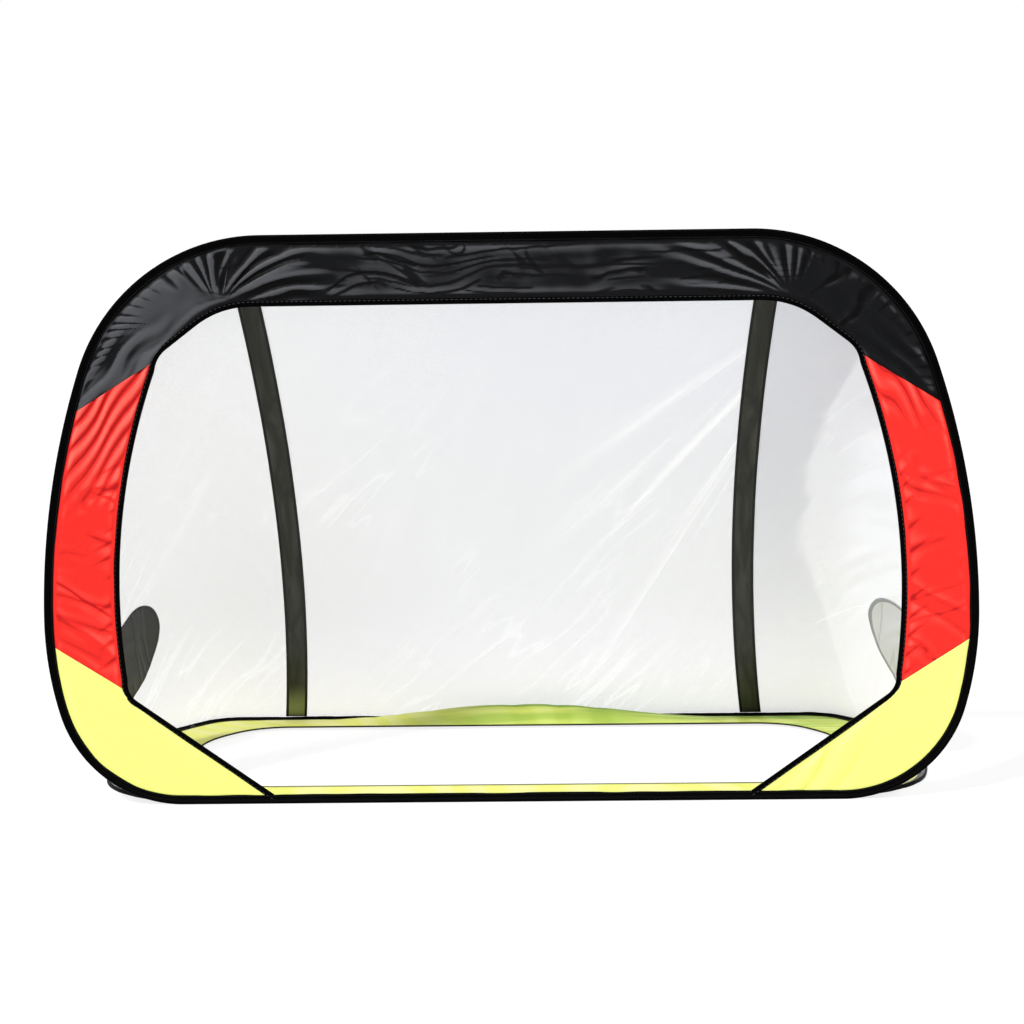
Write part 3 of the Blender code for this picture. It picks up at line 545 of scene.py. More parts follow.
def side_shade(x, y, z):
    """The part of the right side net that lies behind the sun's edge, darkest at the top."""
    sunlit = SUN_REACH - (z - SUN_MIDDLE) * (z - SUN_MIDDLE) * SUN_BEND - z * SUN_SLOPE - y
    shade = (1 - sunlit.between(-0.004, 0.004)) * x.between(0.47, 0.50)
    return shade * (z.between(0.15, 0.70) * 0.6 + 0.4)


def mesh_cloth(name, open_share, close_share):
    """Fine knitted mesh: threads that cross, with light passing between them. The shares are how
    much the cloth covers in its holes and on its threads. Its colour also carries painted light: a
    cool painted shade over the upper left, painted shade on the right side net behind the sun's edge,
    paler painted light near the ground, where it also covers less, and painted highlights along its
    streaks."""
    paint = Paint(name)
    along, across = paint.map()
    x, y, z = paint.rest_place()
    threads = ((along * MESH_THREADS).sine().size() * (across * MESH_THREADS).sine().size()) ** 0.5
    relief, lines = thin_streaks(paint, x, y, z)
    fanned = fanned_streaks(paint, x, z)
    shade = side_shade(x, y, z)
    # Painted highlights along the creases, painted shade at the upper left and on the right side net, and
    # painted light near the ground.
    crease_highlights = (lines + fanned).at_most(1)
    painted_light_low = 1 - z.between(0.0, 0.35)
    painted_upper_shade = z.between(0.20, 0.90) * 0.9 * x.between(-0.6, 0.2)
    body = paint.mix(painted_upper_shade.at_most(1), MESH_WHITE, MESH_UPPER_SHADE)
    body = paint.mix(shade, body, MESH_SHADED)
    body = paint.mix(painted_light_low * 0.8, body, MESH_LIGHT_LOW)
    cover = close_share + shade * 0.10 - painted_light_low * 0.14 - crease_highlights * 0.13
    return paint.finish(
        Base_Color=paint.mix(crease_highlights, body, MESH_CREASE_HIGHLIGHT),
        Roughness=0.8,
        Alpha=threads * (open_share - close_share) + cover,
        Normal=paint.bump(relief + fanned * 0.5, 0.0012),
        Specular_IOR_Level=0.1,
    )


BAND_THICK, BAND_THIN = (0.022, 0.023, 0.019), (0.056, 0.058, 0.048)
BAND_HEM_COLOUR, BAND_LIT_FOOT = (0.010, 0.010, 0.009), (0.30, 0.34, 0.17)


def dark_band(name, width, hem):
    """Thin dark nylon. Light shines through its middle, its hems are double, and the ring's yellow
    shines through the foot of the left one."""
    paint = Paint(name)
    along, across = paint.map()
    x, _, z = paint.rest_place()
    lumps = paint.noise(paint.joined(along * 5, across), 6, detail=3, distortion=0.8)
    doubled = (along - width / 2).size().between(width / 2 - hem - 0.002, width / 2 - hem)
    single = paint.mix(lumps.between(0.35, 0.72), BAND_THICK, BAND_THIN)
    lit = (1 - z.between(0.02, 0.10)) * (1 - x.between(-0.1, 0.1)) * 0.8
    single = paint.mix(lit, single, BAND_LIT_FOOT)
    return paint.finish(
        Base_Color=paint.mix(doubled, single, BAND_HEM_COLOUR),
        Roughness=0.55,
        Normal=paint.bump(lumps, 0.002),
        Specular_IOR_Level=0.2,
    )


def patch_cloth(name, colour, painted_crease_colour, rim_colour):
    """A patch of coated cloth with faint straight creases and a doubled rim. The creases are painted in
    their own colour: a painted highlight on the left patch, painted shade on the right one.
    """
    paint = Paint(name)
    _, outwards = paint.map()
    x, y, z = paint.rest_place()
    spot = paint.joined((y + z) * 15, (y - z) * 1.1, x)
    creases = 1 - (paint.noise(spot, 1.3, detail=0) * 2 - 1).size() * 9
    body = paint.mix(creases.between(0.0, 1) * 0.18, colour, painted_crease_colour)
    return paint.finish(
        Base_Color=paint.mix(outwards.between(RIM_START - 0.001, RIM_START), body, rim_colour),
        Roughness=0.5,
        Normal=paint.bump(creases.between(0, 1), 0.0015),
        Specular_IOR_Level=0.2,
    )


def metal(name, colour, roughness):
    """Drawn wire: fine lines along it."""
    paint = Paint(name)
    x, y, z = paint.place()
    lines = paint.noise(paint.joined(x * 3, y * 40, z * 40), 30, detail=2)
    return paint.finish(
        Base_Color=colour,
        Metallic=1.0,
        Roughness=lines * 0.2 + (roughness - 0.1),
        Normal=paint.bump(lines, 0.0001),
    )


BAND_WIDTH, BAND_HEM = 0.047, 0.005
PATCH_RADIUS, RIM_WIDTH = 0.118, 0.008
RIM_START = PATCH_RADIUS - RIM_WIDTH
binding = tape("ribbed_tape", (0.0008, 0.0008, 0.0009), 0.6, gloss=0.015)
hem_cloth = tape("hem_tape", (0.030, 0.032, 0.010), 0.6, gloss=0.06, front=(0.50, 0.52, 0.22))
sleeve_cloth = tape("sleeve_cloth", (0.0005, 0.0005, 0.0006), 0.40, gloss=0.02)
thread = tape("sewing_thread", (0.045, 0.045, 0.047), 0.6)
pale_thread = tape("pale_thread", (0.13, 0.13, 0.135), 0.6)
white_mesh = mesh_cloth("knitted_mesh", 0.20, 0.46)
band_cloth = dark_band("thin_dark_cloth", BAND_WIDTH, BAND_HEM)
# Both patches are one dark cloth in painted light and shade: the left one stays dark in the shade, and the
# right one is painted pale grey, as lit by the sun through the net.
patch_left = patch_cloth("patch_left", (0.028, 0.029, 0.030), (0.062, 0.063, 0.066), (0.022, 0.022, 0.024))
patch_right = patch_cloth("patch_right", (0.70, 0.71, 0.73), (0.20, 0.21, 0.22), (0.33, 0.34, 0.35))
steel = metal("drawn_steel", (0.46, 0.46, 0.47), 0.35)
zinc = metal("plated_zinc", (0.62, 0.62, 0.60), 0.42)
for node, material in (("wire", steel), ("ferrule", zinc)):
    for hoop in ("front", "base"):
        frame["nodes"][f"{hoop}_hoop_{node}"].material_slots[0].material = material
print("materials:", len(bpy.data.materials))

# %% [markdown]
# The front cloth is held along two edges, the sleeve and the mouth's tape, and pulled hardest at the
# mouth's corners. Cloth answers such pulls in a few ways: folds fan out from the corner, small pleats
# stand along the sleeve where the cloth was gathered into it, and slack cloth between two pulls lies
# in long flat waves. Each way is a function here, from a place on the cloth to a height.

# %% Noise and folds
NOISE_TABLE = 64


def noise(x, y, seed):
    """Smooth noise from -1 to 1, one lump to the unit."""
    table = np.random.default_rng(seed).uniform(-1, 1, (NOISE_TABLE, NOISE_TABLE))
    xi, yi = np.floor(x).astype(int), np.floor(y).astype(int)
    fx, fy = x - xi, y - yi
    fx, fy = (f * f * f * (f * (f * 6 - 15) + 10) for f in (fx, fy))
    xi, yi, xn, yn = (k % NOISE_TABLE for k in (xi, yi, xi + 1, yi + 1))
    return lerp(lerp(table[xi, yi], table[xn, yi], fx), lerp(table[xi, yn], table[xn, yn], fx), fy)


def step_up(low, high, x):
    """0 below low, 1 above high, and smooth between them."""
    t = np.clip((x - low) / (high - low), 0, 1)
    return t * t * (3 - 2 * t)


def pleats(t):
    """Round folds with sharp valleys between them, one to the unit, from -1 to 1."""
    return 2 * np.abs(np.sin(np.pi * t)) ** 0.8 - 1


def ridges(t):
    """Narrow ridges with wide valleys between them, one to the unit, from -1 to 1."""
    return 2 * (0.5 + 0.5 * np.sin(2 * np.pi * t)) ** 1.6 - 1


def crease_lines(x, y, seed, sharp=0.09):
    """Thin creases that wander and taper out, as valleys from 0 down to -1."""
    line = noise(x, y, seed) + 0.12 * noise(x * 2.7, y * 2.7, seed + 1)
    taper = step_up(-0.45, 0.20, noise(x * 1.3 + 7, y * 0.9, seed + 2))
    return -np.exp(-((line / sharp) ** 2)) * taper


def long_creases(x, z, pitch, seed):
    """Thin creases that run along the cloth, wander up and down and stop here and there."""
    wander = 1.3 * noise(x / 0.13, z / 0.06, seed)
    t = z / pitch + wander + 0.12 * noise(x / 0.02, z / 0.02, seed + 1)
    line = np.floor(t)
    taper = step_up(-0.10, 0.30, noise(x / 0.10 + line * 3.7, line * 5.3, seed + 2))
    return -np.exp(-((((t - line) * 2 - 1) / 0.25) ** 2)) * taper


def blurred(height, reach):
    """The mean height round each point of a grid, over about this many points to each side."""
    for axis in (0, 1):
        pad = [(reach, reach) if k == axis else (0, 0) for k in (0, 1)]
        sums = np.cumsum(np.pad(height, pad, mode="edge"), axis=axis)
        first = np.take(sums, [0], axis=axis) * 0
        sums = np.concatenate([first, sums], axis)
        size = height.shape[axis]
        high = np.take(sums, np.arange(size) + 2 * reach + 1, axis=axis)
        height = (high - np.take(sums, np.arange(size), axis=axis)) / (2 * reach + 1)
    return height


PLEAT_PITCH = 0.029


def around(spot, centre):
    """The distance from a corner of the mouth, and the turn from the way that leads inwards."""
    dx, dz = np.abs(spot["x"]) - centre[0], spot["z"] - centre[1]
    return np.hypot(dx, dz), np.mod(np.arctan2(dz, -dx) + math.pi / 2, 2 * math.pi) - math.pi / 2


def fan(spot, centre, reach, seed, per_radian, bend=0.0):
    """Folds that fan out from a corner of the mouth, bend to one side and die out at their reach."""
    far, turn = around(spot, centre)
    turn = turn + bend * far
    uneven = 0.55 * noise(turn * 2.7, far * 7, seed) + 0.25 * noise(turn * 8, far * 12, seed + 1)
    strength = step_up(0.020, 0.075, far) * (1 - step_up(0.30 * reach, reach, far))
    tall = 0.65 + 0.5 * noise(turn * 3.5, far * 5, seed + 2)
    return ridges(turn * per_radian + uneven) * strength * tall


def sleeve_pleats(spot, length, seed):
    """Tapered pleats that start in the sleeve's seam, where the cloth was gathered into it."""
    along = (spot["along"] + 0.4 * spot["outer"]) / PLEAT_PITCH
    uneven = 0.9 * noise(along * 0.41, along * 0, seed)
    longer = length * (1 + 0.45 * noise(along * 0.8, along * 0, seed + 3))
    share = np.clip(spot["outer"] / longer, 0, 1)
    across = np.abs(np.mod(along + uneven, 1) - 0.5) * 2
    deep = np.clip(0.85 + 0.6 * noise(along * 0.7, along * 0, seed + 5), 0.2, 1.2)
    return -np.clip(1 - across / np.maximum(0.62 * (1 - share), 0.02), 0, 1) * (1 - share) * deep


def mouth_pleats(spot, pitch, length, lean, seed):
    """Short creases that start at the mouth's tape and lean up the cloth."""
    up = (spot["z"] - lean * spot["inner"]) / pitch
    uneven = 0.5 * noise(up * 0.4, up * 0, seed)
    longer = length * (1 + 0.7 * noise(up * 0.9, up * 0, seed + 1))
    share = np.clip(spot["inner"] / longer, 0, 1)
    across = np.abs(np.mod(up + uneven, 1) - 0.5) * 2
    return -np.clip(1 - across / np.maximum(0.5 * (1 - share), 0.02), 0, 1) * (1 - share)


def beside(spot, start, end):
    """The distance from the line through two corners of the mouth, outwards."""
    edge = (end - start) / np.linalg.norm(end - start)
    return (np.abs(spot["x"]) - start[0]) * edge[1] - (spot["z"] - start[1]) * edge[0]


FAN_HEIGHT, RIGHT_FAN_SHARE, HOLLOW_DEPTH, HOLLOW_TURN = 0.0062, 0.48, 0.0085, 1.50
LEVEL_CREASE_DEPTH, SLANT_DEPTH, PLEAT_DEPTH = 0.0024, 0.0013, 0.0050
LINE_HEIGHT, DENT_DEPTH = 0.0034, 0.0040
BLACK_LUMPS, BLACK_FULLNESS = 0.0009, 0.0024


def black_folds(spot):
    """The top band and the top corners. The two corners of a real goal never crease alike, so the
    right one has its own numbers."""
    x, z = spot["x"], spot["z"]
    right = step_up(-0.05, 0.05, x)
    far, turn = around(spot, MOUTH_TOP)
    left_fan = fan(spot, MOUTH_TOP, reach=0.25, seed=11, per_radian=3.5, bend=1.4)
    left_fan = left_fan * step_up(-0.05, 0.10, turn) * (1 - step_up(1.9, 2.5, turn))
    right_fan = fan(spot, MOUTH_TOP, reach=0.34, seed=31, per_radian=4.2, bend=0.5)
    right_fan = right_fan * (1 - step_up(1.3, 2.3, turn))
    hollow = np.exp(-(((turn - HOLLOW_TURN) / 0.15) ** 2))
    hollow = hollow * step_up(0.02, 0.05, far) * (1 - step_up(0.09, 0.16, far))
    middle = step_up(0.06, 0.26, MOUTH_TOP[0] - np.abs(x))
    level = long_creases(x, z - 0.06 * x, 0.021, 42) + 0.6 * long_creases(x, z + 0.05 * x, 0.0125, 45)
    slants = crease_lines((x + z) / 0.035, (z - x) / 0.12, 48)
    slants = slants * step_up(0.0, 0.4, noise(x / 0.12, z / 0.08, 51))
    corner = step_up(-0.02, 0.06, np.abs(x) - MOUTH_TOP[0])
    low = 1 - step_up(-0.02, 0.10, z - MOUTH_SHOULDER[1])
    ahead = beside(spot, MOUTH_TOP, MOUTH_SHOULDER)
    lines = ridges(ahead / 0.032 + 0.35 * noise(x / 0.09, z / 0.09, 54) + 0.5 * z / 0.1)
    dents = crease_lines((x * 0.9 - z) / 0.10, (x + z) / 0.14, 57, 0.22)
    pinch = sleeve_pleats(spot, lerp(0.048, 0.040, right), 61)
    return (
        FAN_HEIGHT * lerp(left_fan, RIGHT_FAN_SHARE * right_fan, right) * (1 - 0.6 * low)
        - HOLLOW_DEPTH * hollow * (1 - right)
        + LEVEL_CREASE_DEPTH * level * (0.25 + 0.75 * middle) * (1 - corner)
        + SLANT_DEPTH * slants * middle
        + PLEAT_DEPTH * pinch * corner * (1 - 0.5 * right)
        + LINE_HEIGHT * lines * corner * low * (1 - 0.6 * right)
        + DENT_DEPTH * dents * corner * right
        + BLACK_LUMPS * noise(x / 0.05, z / 0.05, 64)
        + BLACK_FULLNESS
    )


SEAM_LEAN = 0.4275


def black_painted_light(spot):
    """Painted light: the left corner is painted paler, as it catches the light, the right one darker, as
    painted shade, and the middle of the top band a little paler.
    """
    x, z = np.abs(spot["x"]), spot["z"]
    corner = step_up(-0.05, 0.06, x - MOUTH_TOP[0])
    seam = 1 - step_up(0.012, 0.03, z - MOUTH_SHOULDER[1] + SEAM_LEAN * (x - MOUTH_SHOULDER[0]))
    lit = 0.30 * corner + 0.16 * seam * corner
    band = step_up(0.06, 0.22, MOUTH_TOP[0] - x)
    return np.where(spot["x"] < 0, lit, -0.12 * corner) + 0.02 * band


RED_SIDES = {
    "right": {
        "pitch": 0.028,
        "reach": 0.16,
        "slant": (0.55, 0.83),
        "hanging": 0.0016,
        "creases": 0.0013,
        "lean": 0.7,
    },
    "left": {
        "pitch": 0.023,
        "reach": 0.30,
        "slant": (-0.50, 0.86),
        "hanging": 0.0032,
        "creases": 0.0020,
        "lean": -0.5,
    },
}
RED_SEAM_AT_MOUTH, RED_SEAM_SLOPE = FRONT_HEIGHT - 0.250, 0.15
HANGING_LEAN = (0.824, 0.567)


def red_folds(spot):
    """Folds hang from the upper seam, leaning outwards as they fall, and die out a third of the way
    down. Zigzag creases cross the cloth below, where it is pulled between the hoop and the mouth."""
    right = bool((spot["x"] > 0).all())
    side = RED_SIDES["right" if right else "left"]
    x, z = np.abs(spot["x"]), spot["z"]
    below = RED_SEAM_AT_MOUTH - RED_SEAM_SLOPE * (x - MOUTH_SHOULDER[0]) - z
    across = x * HANGING_LEAN[0] + z * HANGING_LEAN[1]
    hanging = pleats(across / side["pitch"] + 0.35 * noise(x / 0.05, z / 0.16, 81 + right))
    hanging *= 1 - step_up(0.15 * side["reach"], side["reach"], below)
    level = x * side["slant"][0] + z * side["slant"][1]
    level = level / 0.05 + 0.4 * noise(x / 0.08, z / 0.08, 83)
    creases = crease_lines(level, across / 0.22, 85 + right, 0.13)
    creases = creases + 0.7 * crease_lines((x * 0.3 - z) / 0.045, (x + z * 0.4) / 0.14, 97 + right, 0.13)
    creases = creases * step_up(0.03, 0.2, below)
    inner = mouth_pleats(spot, 0.038, 0.045, side["lean"], 101 + right) * step_up(0.12, 0.24, below)
    return (
        side["hanging"] * hanging
        + side["creases"] * creases
        + 0.0008 * sleeve_pleats(spot, 0.020, 89 + right)
        + 0.0030 * inner
        + 0.0008 * noise(x / 0.1, z / 0.1, 91)
        + 0.0012
    )


YELLOW_SIDES = {"right": (0.14, 0.0020), "left": (0.10, 0.0013)}


def yellow_folds(spot):
    """Nearly smooth: a few long shallow folds beside the mouth's lower edge, more on the right."""
    right = bool((spot["x"] > 0).all())
    reach, tall = YELLOW_SIDES["right" if right else "left"]
    x, z = np.abs(spot["x"]), spot["z"]
    ahead = beside(spot, MOUTH_FOOT, MOUTH_HIP)
    lines = pleats(ahead / 0.040 + 0.9 * noise(x / 0.16, z / 0.16, 93 + right))
    shown = 1 - step_up(0.04, reach, ahead)
    shown = shown * step_up(-0.3, 0.5, noise(x / 0.12, z / 0.12, 103 + right))
    return tall * lines * shown + 0.0014 * noise(x / 0.16, z / 0.16, 95) + 0.0012


# %% [markdown]
# A strip of front cloth is a grid between two lines: its edge in the sleeve and its edge in the
# mouth's tape. The folds' height moves each point forward or a little back. It fades to nothing where
# the tapes grip the cloth. What stands above or below its surroundings is kept as the relief, which
# the material paints as shade in the valleys and as a highlight on the ridges. On the black cloth it
# also carries painted light on the left top corner and painted shade on the right one.

# %% The front cloth
CLOTH_THICKNESS = 0.0005
CLOTH_EDGE_INSET = 0.011
MOUTH_TAPE_WIDTH = 0.011
GRIP = 0.0015
BACKWARD_SHARE = 0.10
FRONT_CLOTH_STEP = 0.0027
SHORTEST_STRIP = 0.2
RELIEF_REACH, RELIEF_HEIGHT, RELIEF_STRENGTH = 6, 0.0026, 1.7


def front_strip(node, stretch, side, folds, material, whole=False):
    """One piece of front cloth between two seams, with its folds, in the place of a node."""
    start, end = seams[stretch], seams[stretch + 1]
    line = mouth_stretches[stretch]
    columns = round(max(end - start, SHORTEST_STRIP) / FRONT_CLOTH_STEP)
    lengths = np.linspace(start, end, columns + 1)
    outer = front_hoop.inset(lengths, CLOTH_EDGE_INSET)
    inner = resample(line, columns + 1)
    if whole:
        outer, inner = (np.concatenate([edge, edge[-2::-1] * MIRROR]) for edge in (outer, inner))
        lengths = np.concatenate([lengths, 2 * end - lengths[-2::-1]])
    widths = np.linalg.norm(inner - outer, axis=1)
    rows = round(widths.max() / FRONT_CLOTH_STEP)
    share = np.linspace(0, 1, rows + 1)[None, :]
    flat = outer[:, None] + (inner - outer)[:, None] * share[..., None]
    x, z = flat[..., 0] * side, flat[..., 1]
    spot = {
        "x": x,
        "z": z,
        "along": np.broadcast_to(lengths[:, None] * side, x.shape),
        "outer": widths[:, None] * share - (SLEEVE_WIDTH - CLOTH_EDGE_INSET),
        "inner": widths[:, None] * (1 - share) - MOUTH_TAPE_WIDTH,
    }
    gripped = step_up(GRIP, 0.012, spot["outer"]) * step_up(GRIP, 0.014, spot["inner"])
    height = folds(spot) * gripped
    # Painted light and painted shade on the black cloth's top corners, added to its relief.
    painted_light = black_painted_light(spot) if material is black else 0.0
    above = (height - blurred(height, RELIEF_REACH)) / RELIEF_HEIGHT
    relief = np.clip(0.5 + 0.5 * np.tanh(RELIEF_STRENGTH * above) + painted_light, 0, 1)
    y = FRONT_PLANE - np.where(height > 0, height, height * BACKWARD_SHARE)
    cut = np.stack([x, np.full_like(x, FRONT_PLANE), z], -1)
    piece = grid_object(f"{node}_cloth", np.stack([x, y, z], -1), material, flip=side < 0)
    store(piece, "relief", relief)
    thicken(piece, CLOTH_THICKNESS)
    grid_area(cut)
    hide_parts(node)
    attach(piece, "front_frame")
    return piece


SIDE_STRIPS = (
    ("lower_corner", yellow_folds, yellow, "yellow_nylon"),
    ("side_panel", red_folds, red, "red_nylon"),
    ("top_corner", black_folds, black, "black_nylon"),
)
front_cloth = [front_strip("top_band", 3, 1, black_folds, black, whole=True)]
for name, side in SIDES:
    for stretch, (kind, folds, material, slot) in enumerate(SIDE_STRIPS):
        front_cloth.append(front_strip(f"{kind}_{name}", stretch, side, folds, material))
print("front cloth:", {piece.name: len(piece.data.polygons) for piece in front_cloth})

# %% [markdown]
# A sleeve is one tape folded round the wire, its two legs sewn together through the edge of the
# cloth. Its section is drawn once, as a round bulb that runs into two flat legs, and swept along the
# hoop. The hem tapes are swept the same way, from a flatter section.

# %% Sweeping a section round a loop
TAPE_STEP = 0.006
BULB_POINTS = 18
LEG_START, LEG_ROUNDING = 0.0165, 0.0004
FLOOR_GAP = 0.0002
FORWARD, UPWARD = np.array([0, 1, 0]), np.array([0, 0, 1])


def sleeve_section(leg_level=0.0):
    """(across, square) points of the sleeve's outside, bulb first. The legs leave the bulb in its
    middle, or at another level."""
    low, high = leg_level - SLEEVE_LEG, leg_level + SLEEVE_LEG
    first, last = math.asin(high / BULB), 2 * math.pi + math.asin(max(low / BULB, -1))
    turns = np.linspace(first, last, BULB_POINTS)
    bulb = [(BULB + BULB * math.cos(t), BULB * math.sin(t)) for t in turns]
    edge = SLEEVE_WIDTH - LEG_ROUNDING
    lower_leg = [(LEG_START, low), (edge, low), (SLEEVE_WIDTH, (low + leg_level) / 2)]
    upper_leg = [(SLEEVE_WIDTH, (high + leg_level) / 2), (edge, high), (LEG_START, high)]
    return np.array(bulb + lower_leg + upper_leg)


def tape_section(width, half):
    """A folded tape, seen from its end."""
    soft = half * 0.55
    upper = [(0.0, soft), (soft, half), (width / 2, half * 1.05), (width - soft, half), (width, soft)]
    return np.array(upper + [(a, -b) for a, b in reversed(upper)])


def sweep(name, places, across, square, section, material, pucker=0.0, closed=True, seed=0):
    """A section swept along places, with its first coordinate along across and its second along
    square. pucker moves the skin in and out, as sewn tape does."""
    lengths = np.concatenate([[0], np.cumsum(np.linalg.norm(np.diff(places, axis=0), axis=1))])
    turns = np.arange(len(section))
    swell = 1 + pucker * noise(lengths[:, None] / 0.03, turns[None, :] / 3, seed)
    swell += pucker * 0.6 * noise(lengths[:, None] / 0.008, turns[None, :] / 4, seed + 1)
    widening = 1 + pucker * 0.5 * noise(lengths / 0.05, lengths * 0, seed + 2)
    squares = (section[None, :, 1] * swell)[..., None]
    reaches = (section[None, :, 0] * widening[:, None])[..., None]
    points = places[:, None] + across[:, None] * reaches + square[None, None] * squares
    points[..., 2] = np.maximum(points[..., 2], FLOOR_GAP)
    made = grid_object(name, points, material, wrap=(closed, True))
    clean_normals(made)
    return made


def clean_normals(piece):
    """Turns the faces outwards, and closes open ends."""
    build = bmesh.new()
    build.from_mesh(piece.data)
    ends = [e for e in build.edges if e.is_boundary]
    if ends:
        bmesh.ops.holes_fill(build, edges=ends)
    bmesh.ops.recalc_face_normals(build, faces=build.faces)
    if build.calc_volume(signed=True) < 0:
        bmesh.ops.reverse_faces(build, faces=build.faces)
    build.to_mesh(piece.data)
    build.free()


def standing(points, y=FRONT_PLANE):
    """Flat points stood up in a plane across the mouth."""
    return np.stack([points[:, 0], np.full(len(points), y), points[:, 1]], 1)


def lying(points, z, front=BASE_FRONT):
    """Flat points laid down at a height, from a line at the front."""
    return np.stack([points[:, 0], points[:, 1] + front, np.full(len(points), z)], 1)


SLEEVE_PUCKER = 0.10
places, inwards = front_hoop.round_trip(TAPE_STEP)
front_sleeve = sweep(
    "front_sleeve",
    standing(places),
    standing(inwards, 0),
    FORWARD,
    sleeve_section(),
    sleeve_cloth,
    SLEEVE_PUCKER,
    seed=101,
)
places, inwards = base_hoop.round_trip(TAPE_STEP)
base_sleeve = sweep(
    "base_sleeve",
    lying(places, BULB),
    lying(inwards, 0, 0),
    UPWARD,
    sleeve_section(SLEEVE_LEG - BULB),
    sleeve_cloth,
    SLEEVE_PUCKER,
    seed=111,
)
print("sleeves:", len(front_sleeve.data.polygons), len(base_sleeve.data.polygons))
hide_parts("front_hoop_sleeve")
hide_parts("base_hoop_sleeve")
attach(front_sleeve, "front_frame")
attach(base_sleeve, "base")

# %% The tape round the mouth
MOUTH_TAPE_HALF, MOUTH_TAPE_PUCKER = 0.0019, 0.08
MOUTH_HALF_LENGTH = 2.4
half_line = np.concatenate([line[:-1] for line in mouth_stretches[:-1]] + mouth_stretches[-1:])
half_line = resample(half_line, round(MOUTH_HALF_LENGTH / TAPE_STEP))
mouth_line = np.concatenate([half_line, half_line[-2::-1] * MIRROR])
along = np.gradient(mouth_line, axis=0)
along /= np.linalg.norm(along, axis=1)[:, None]
outwards = np.stack([along[:, 1], -along[:, 0]], 1)
mouth_tape = sweep(
    "mouth_tape",
    standing(mouth_line),
    standing(outwards, 0),
    FORWARD,
    tape_section(MOUTH_TAPE_WIDTH, MOUTH_TAPE_HALF),
    binding,
    MOUTH_TAPE_PUCKER,
    closed=False,
    seed=121,
)
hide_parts("mouth_binding")
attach(mouth_tape, "front_frame")
print(f"mouth tape: {len(mouth_line)} places")

# %% [markdown]
# The yellow ring lies on the ground inside the ground hoop. It is cut as four strips, sewn at the
# corners, and only touches the ground here and there, so it ripples upwards. Behind the goal the
# cloth is loose and stands up in one long low fold.

# %% The ground cloth
GROUND_CLOTH_LEVEL = 0.0019
RIPPLE = 0.0032
BILLOW_HEIGHT, BILLOW_HALF_LENGTH = 0.036, 0.300
BILLOW_POWER = 2.4
HEM_LIFT = 0.005
GROUND_STEPS, GROUND_ROWS = 640, 34
RIPPLE_PITCH = 0.11
LOWEST_CLOTH = 0.0006
RING_YELLOW, RING_SHADE_GREEN = (0.95, 0.98, 0.22), (0.19, 0.37, 0.035)
RING_HIGHLIGHT_YELLOW, RING_HIGHLIGHT_IN_SHADE = (1.0, 1.0, 0.36), (0.35, 0.57, 0.07)


def ring_cloth():
    """The yellow nylon of the ring. The net's shade tints its rear strip green, in long bars, from
    the left of the middle to the right, as painted shade. The ripples' ridges are painted paler, as a
    painted highlight, less so in the shade."""
    paint = Paint("ring_yellow")
    x, y, _ = paint.place()
    behind = y.between(0.05, 0.28) * x.between(-0.40, -0.05)
    upper = y.between(0.35, 0.40) * 0.35 + 0.65
    bars = paint.noise(paint.joined(x * 3, y * 46 - x * 2), 1, detail=1).between(0.36, 0.62)
    shade = (behind * upper * (1 - x.between(0.60, 0.80) * 0.25) * (bars * 0.55 + 0.6)).at_most(1)
    # Painted shade of the net, tinted green, and painted highlights on the ripples' ridges.
    body = paint.mix(shade, RING_YELLOW, RING_SHADE_GREEN)
    ridge_highlight = paint.mix(shade, RING_HIGHLIGHT_YELLOW, RING_HIGHLIGHT_IN_SHADE)
    ridge = paint.stored("relief").between(0.5, 1) * (1 - shade * 0.85)
    return paint.finish(
        Base_Color=paint.mix(ridge, body, ridge_highlight),
        Roughness=0.5,
        Normal=paint.bump(bars, 0.0006),
        Specular_IOR_Level=0.15,
    )


ring_yellow = ring_cloth()


def hem_height(y):
    """How far the ring's inner edge stands off the ground, most of all at the front and the back."""
    return HEM_LIFT * step_up(0.2, 0.5, np.abs(y) / 0.4)


def ground_cloth():
    """The ring's grid, from the sleeve to the hem, all the way round from the front centre."""
    lengths = np.linspace(0, base_hoop.length, GROUND_STEPS // 2 + 1)
    outer = base_hoop.inset(lengths, CLOTH_EDGE_INSET)
    facing = np.interp(lengths, [*base_hoop.starts, base_hoop.length], [*hem_loop.starts, hem_loop.length])
    inner = hem_loop.inset(facing, -0.001) + np.array([0, RING_FRONT])
    outer, inner = (np.concatenate([line, line[-2:0:-1] * MIRROR]) for line in (outer, inner))
    widths = np.linalg.norm(inner - outer, axis=1)
    rows = np.linspace(0, 1, GROUND_ROWS + 1)[None, :]
    flat = outer[:, None] + (inner - outer)[:, None] * rows[..., None]
    x, y = flat[..., 0], flat[..., 1] + BASE_FRONT
    from_sleeve, from_hem = widths[:, None] * rows - 0.007, widths[:, None] * (1 - rows) - 0.004
    edge = step_up(0.002, 0.02, from_sleeve) * step_up(0, 0.02, from_hem)
    spread = x / RIPPLE_PITCH + 0.6 * y / RIPPLE_PITCH + 1.2 * noise(x / 0.2, y / 0.2, 131)
    ripples = 0.5 + 0.5 * pleats(spread)
    tall = edge * RIPPLE * ripples * (0.5 + 0.5 * noise(x / 0.25, y / 0.25, 132))
    swell = np.sin(np.pi * rows) * np.exp(-(np.abs(x / BILLOW_HALF_LENGTH) ** BILLOW_POWER)) * (y > 0)
    z = GROUND_CLOTH_LEVEL + tall + BILLOW_HEIGHT * swell + hem_height(y) * rows
    return np.stack([x, y, np.maximum(z, LOWEST_CLOTH)], -1), ripples


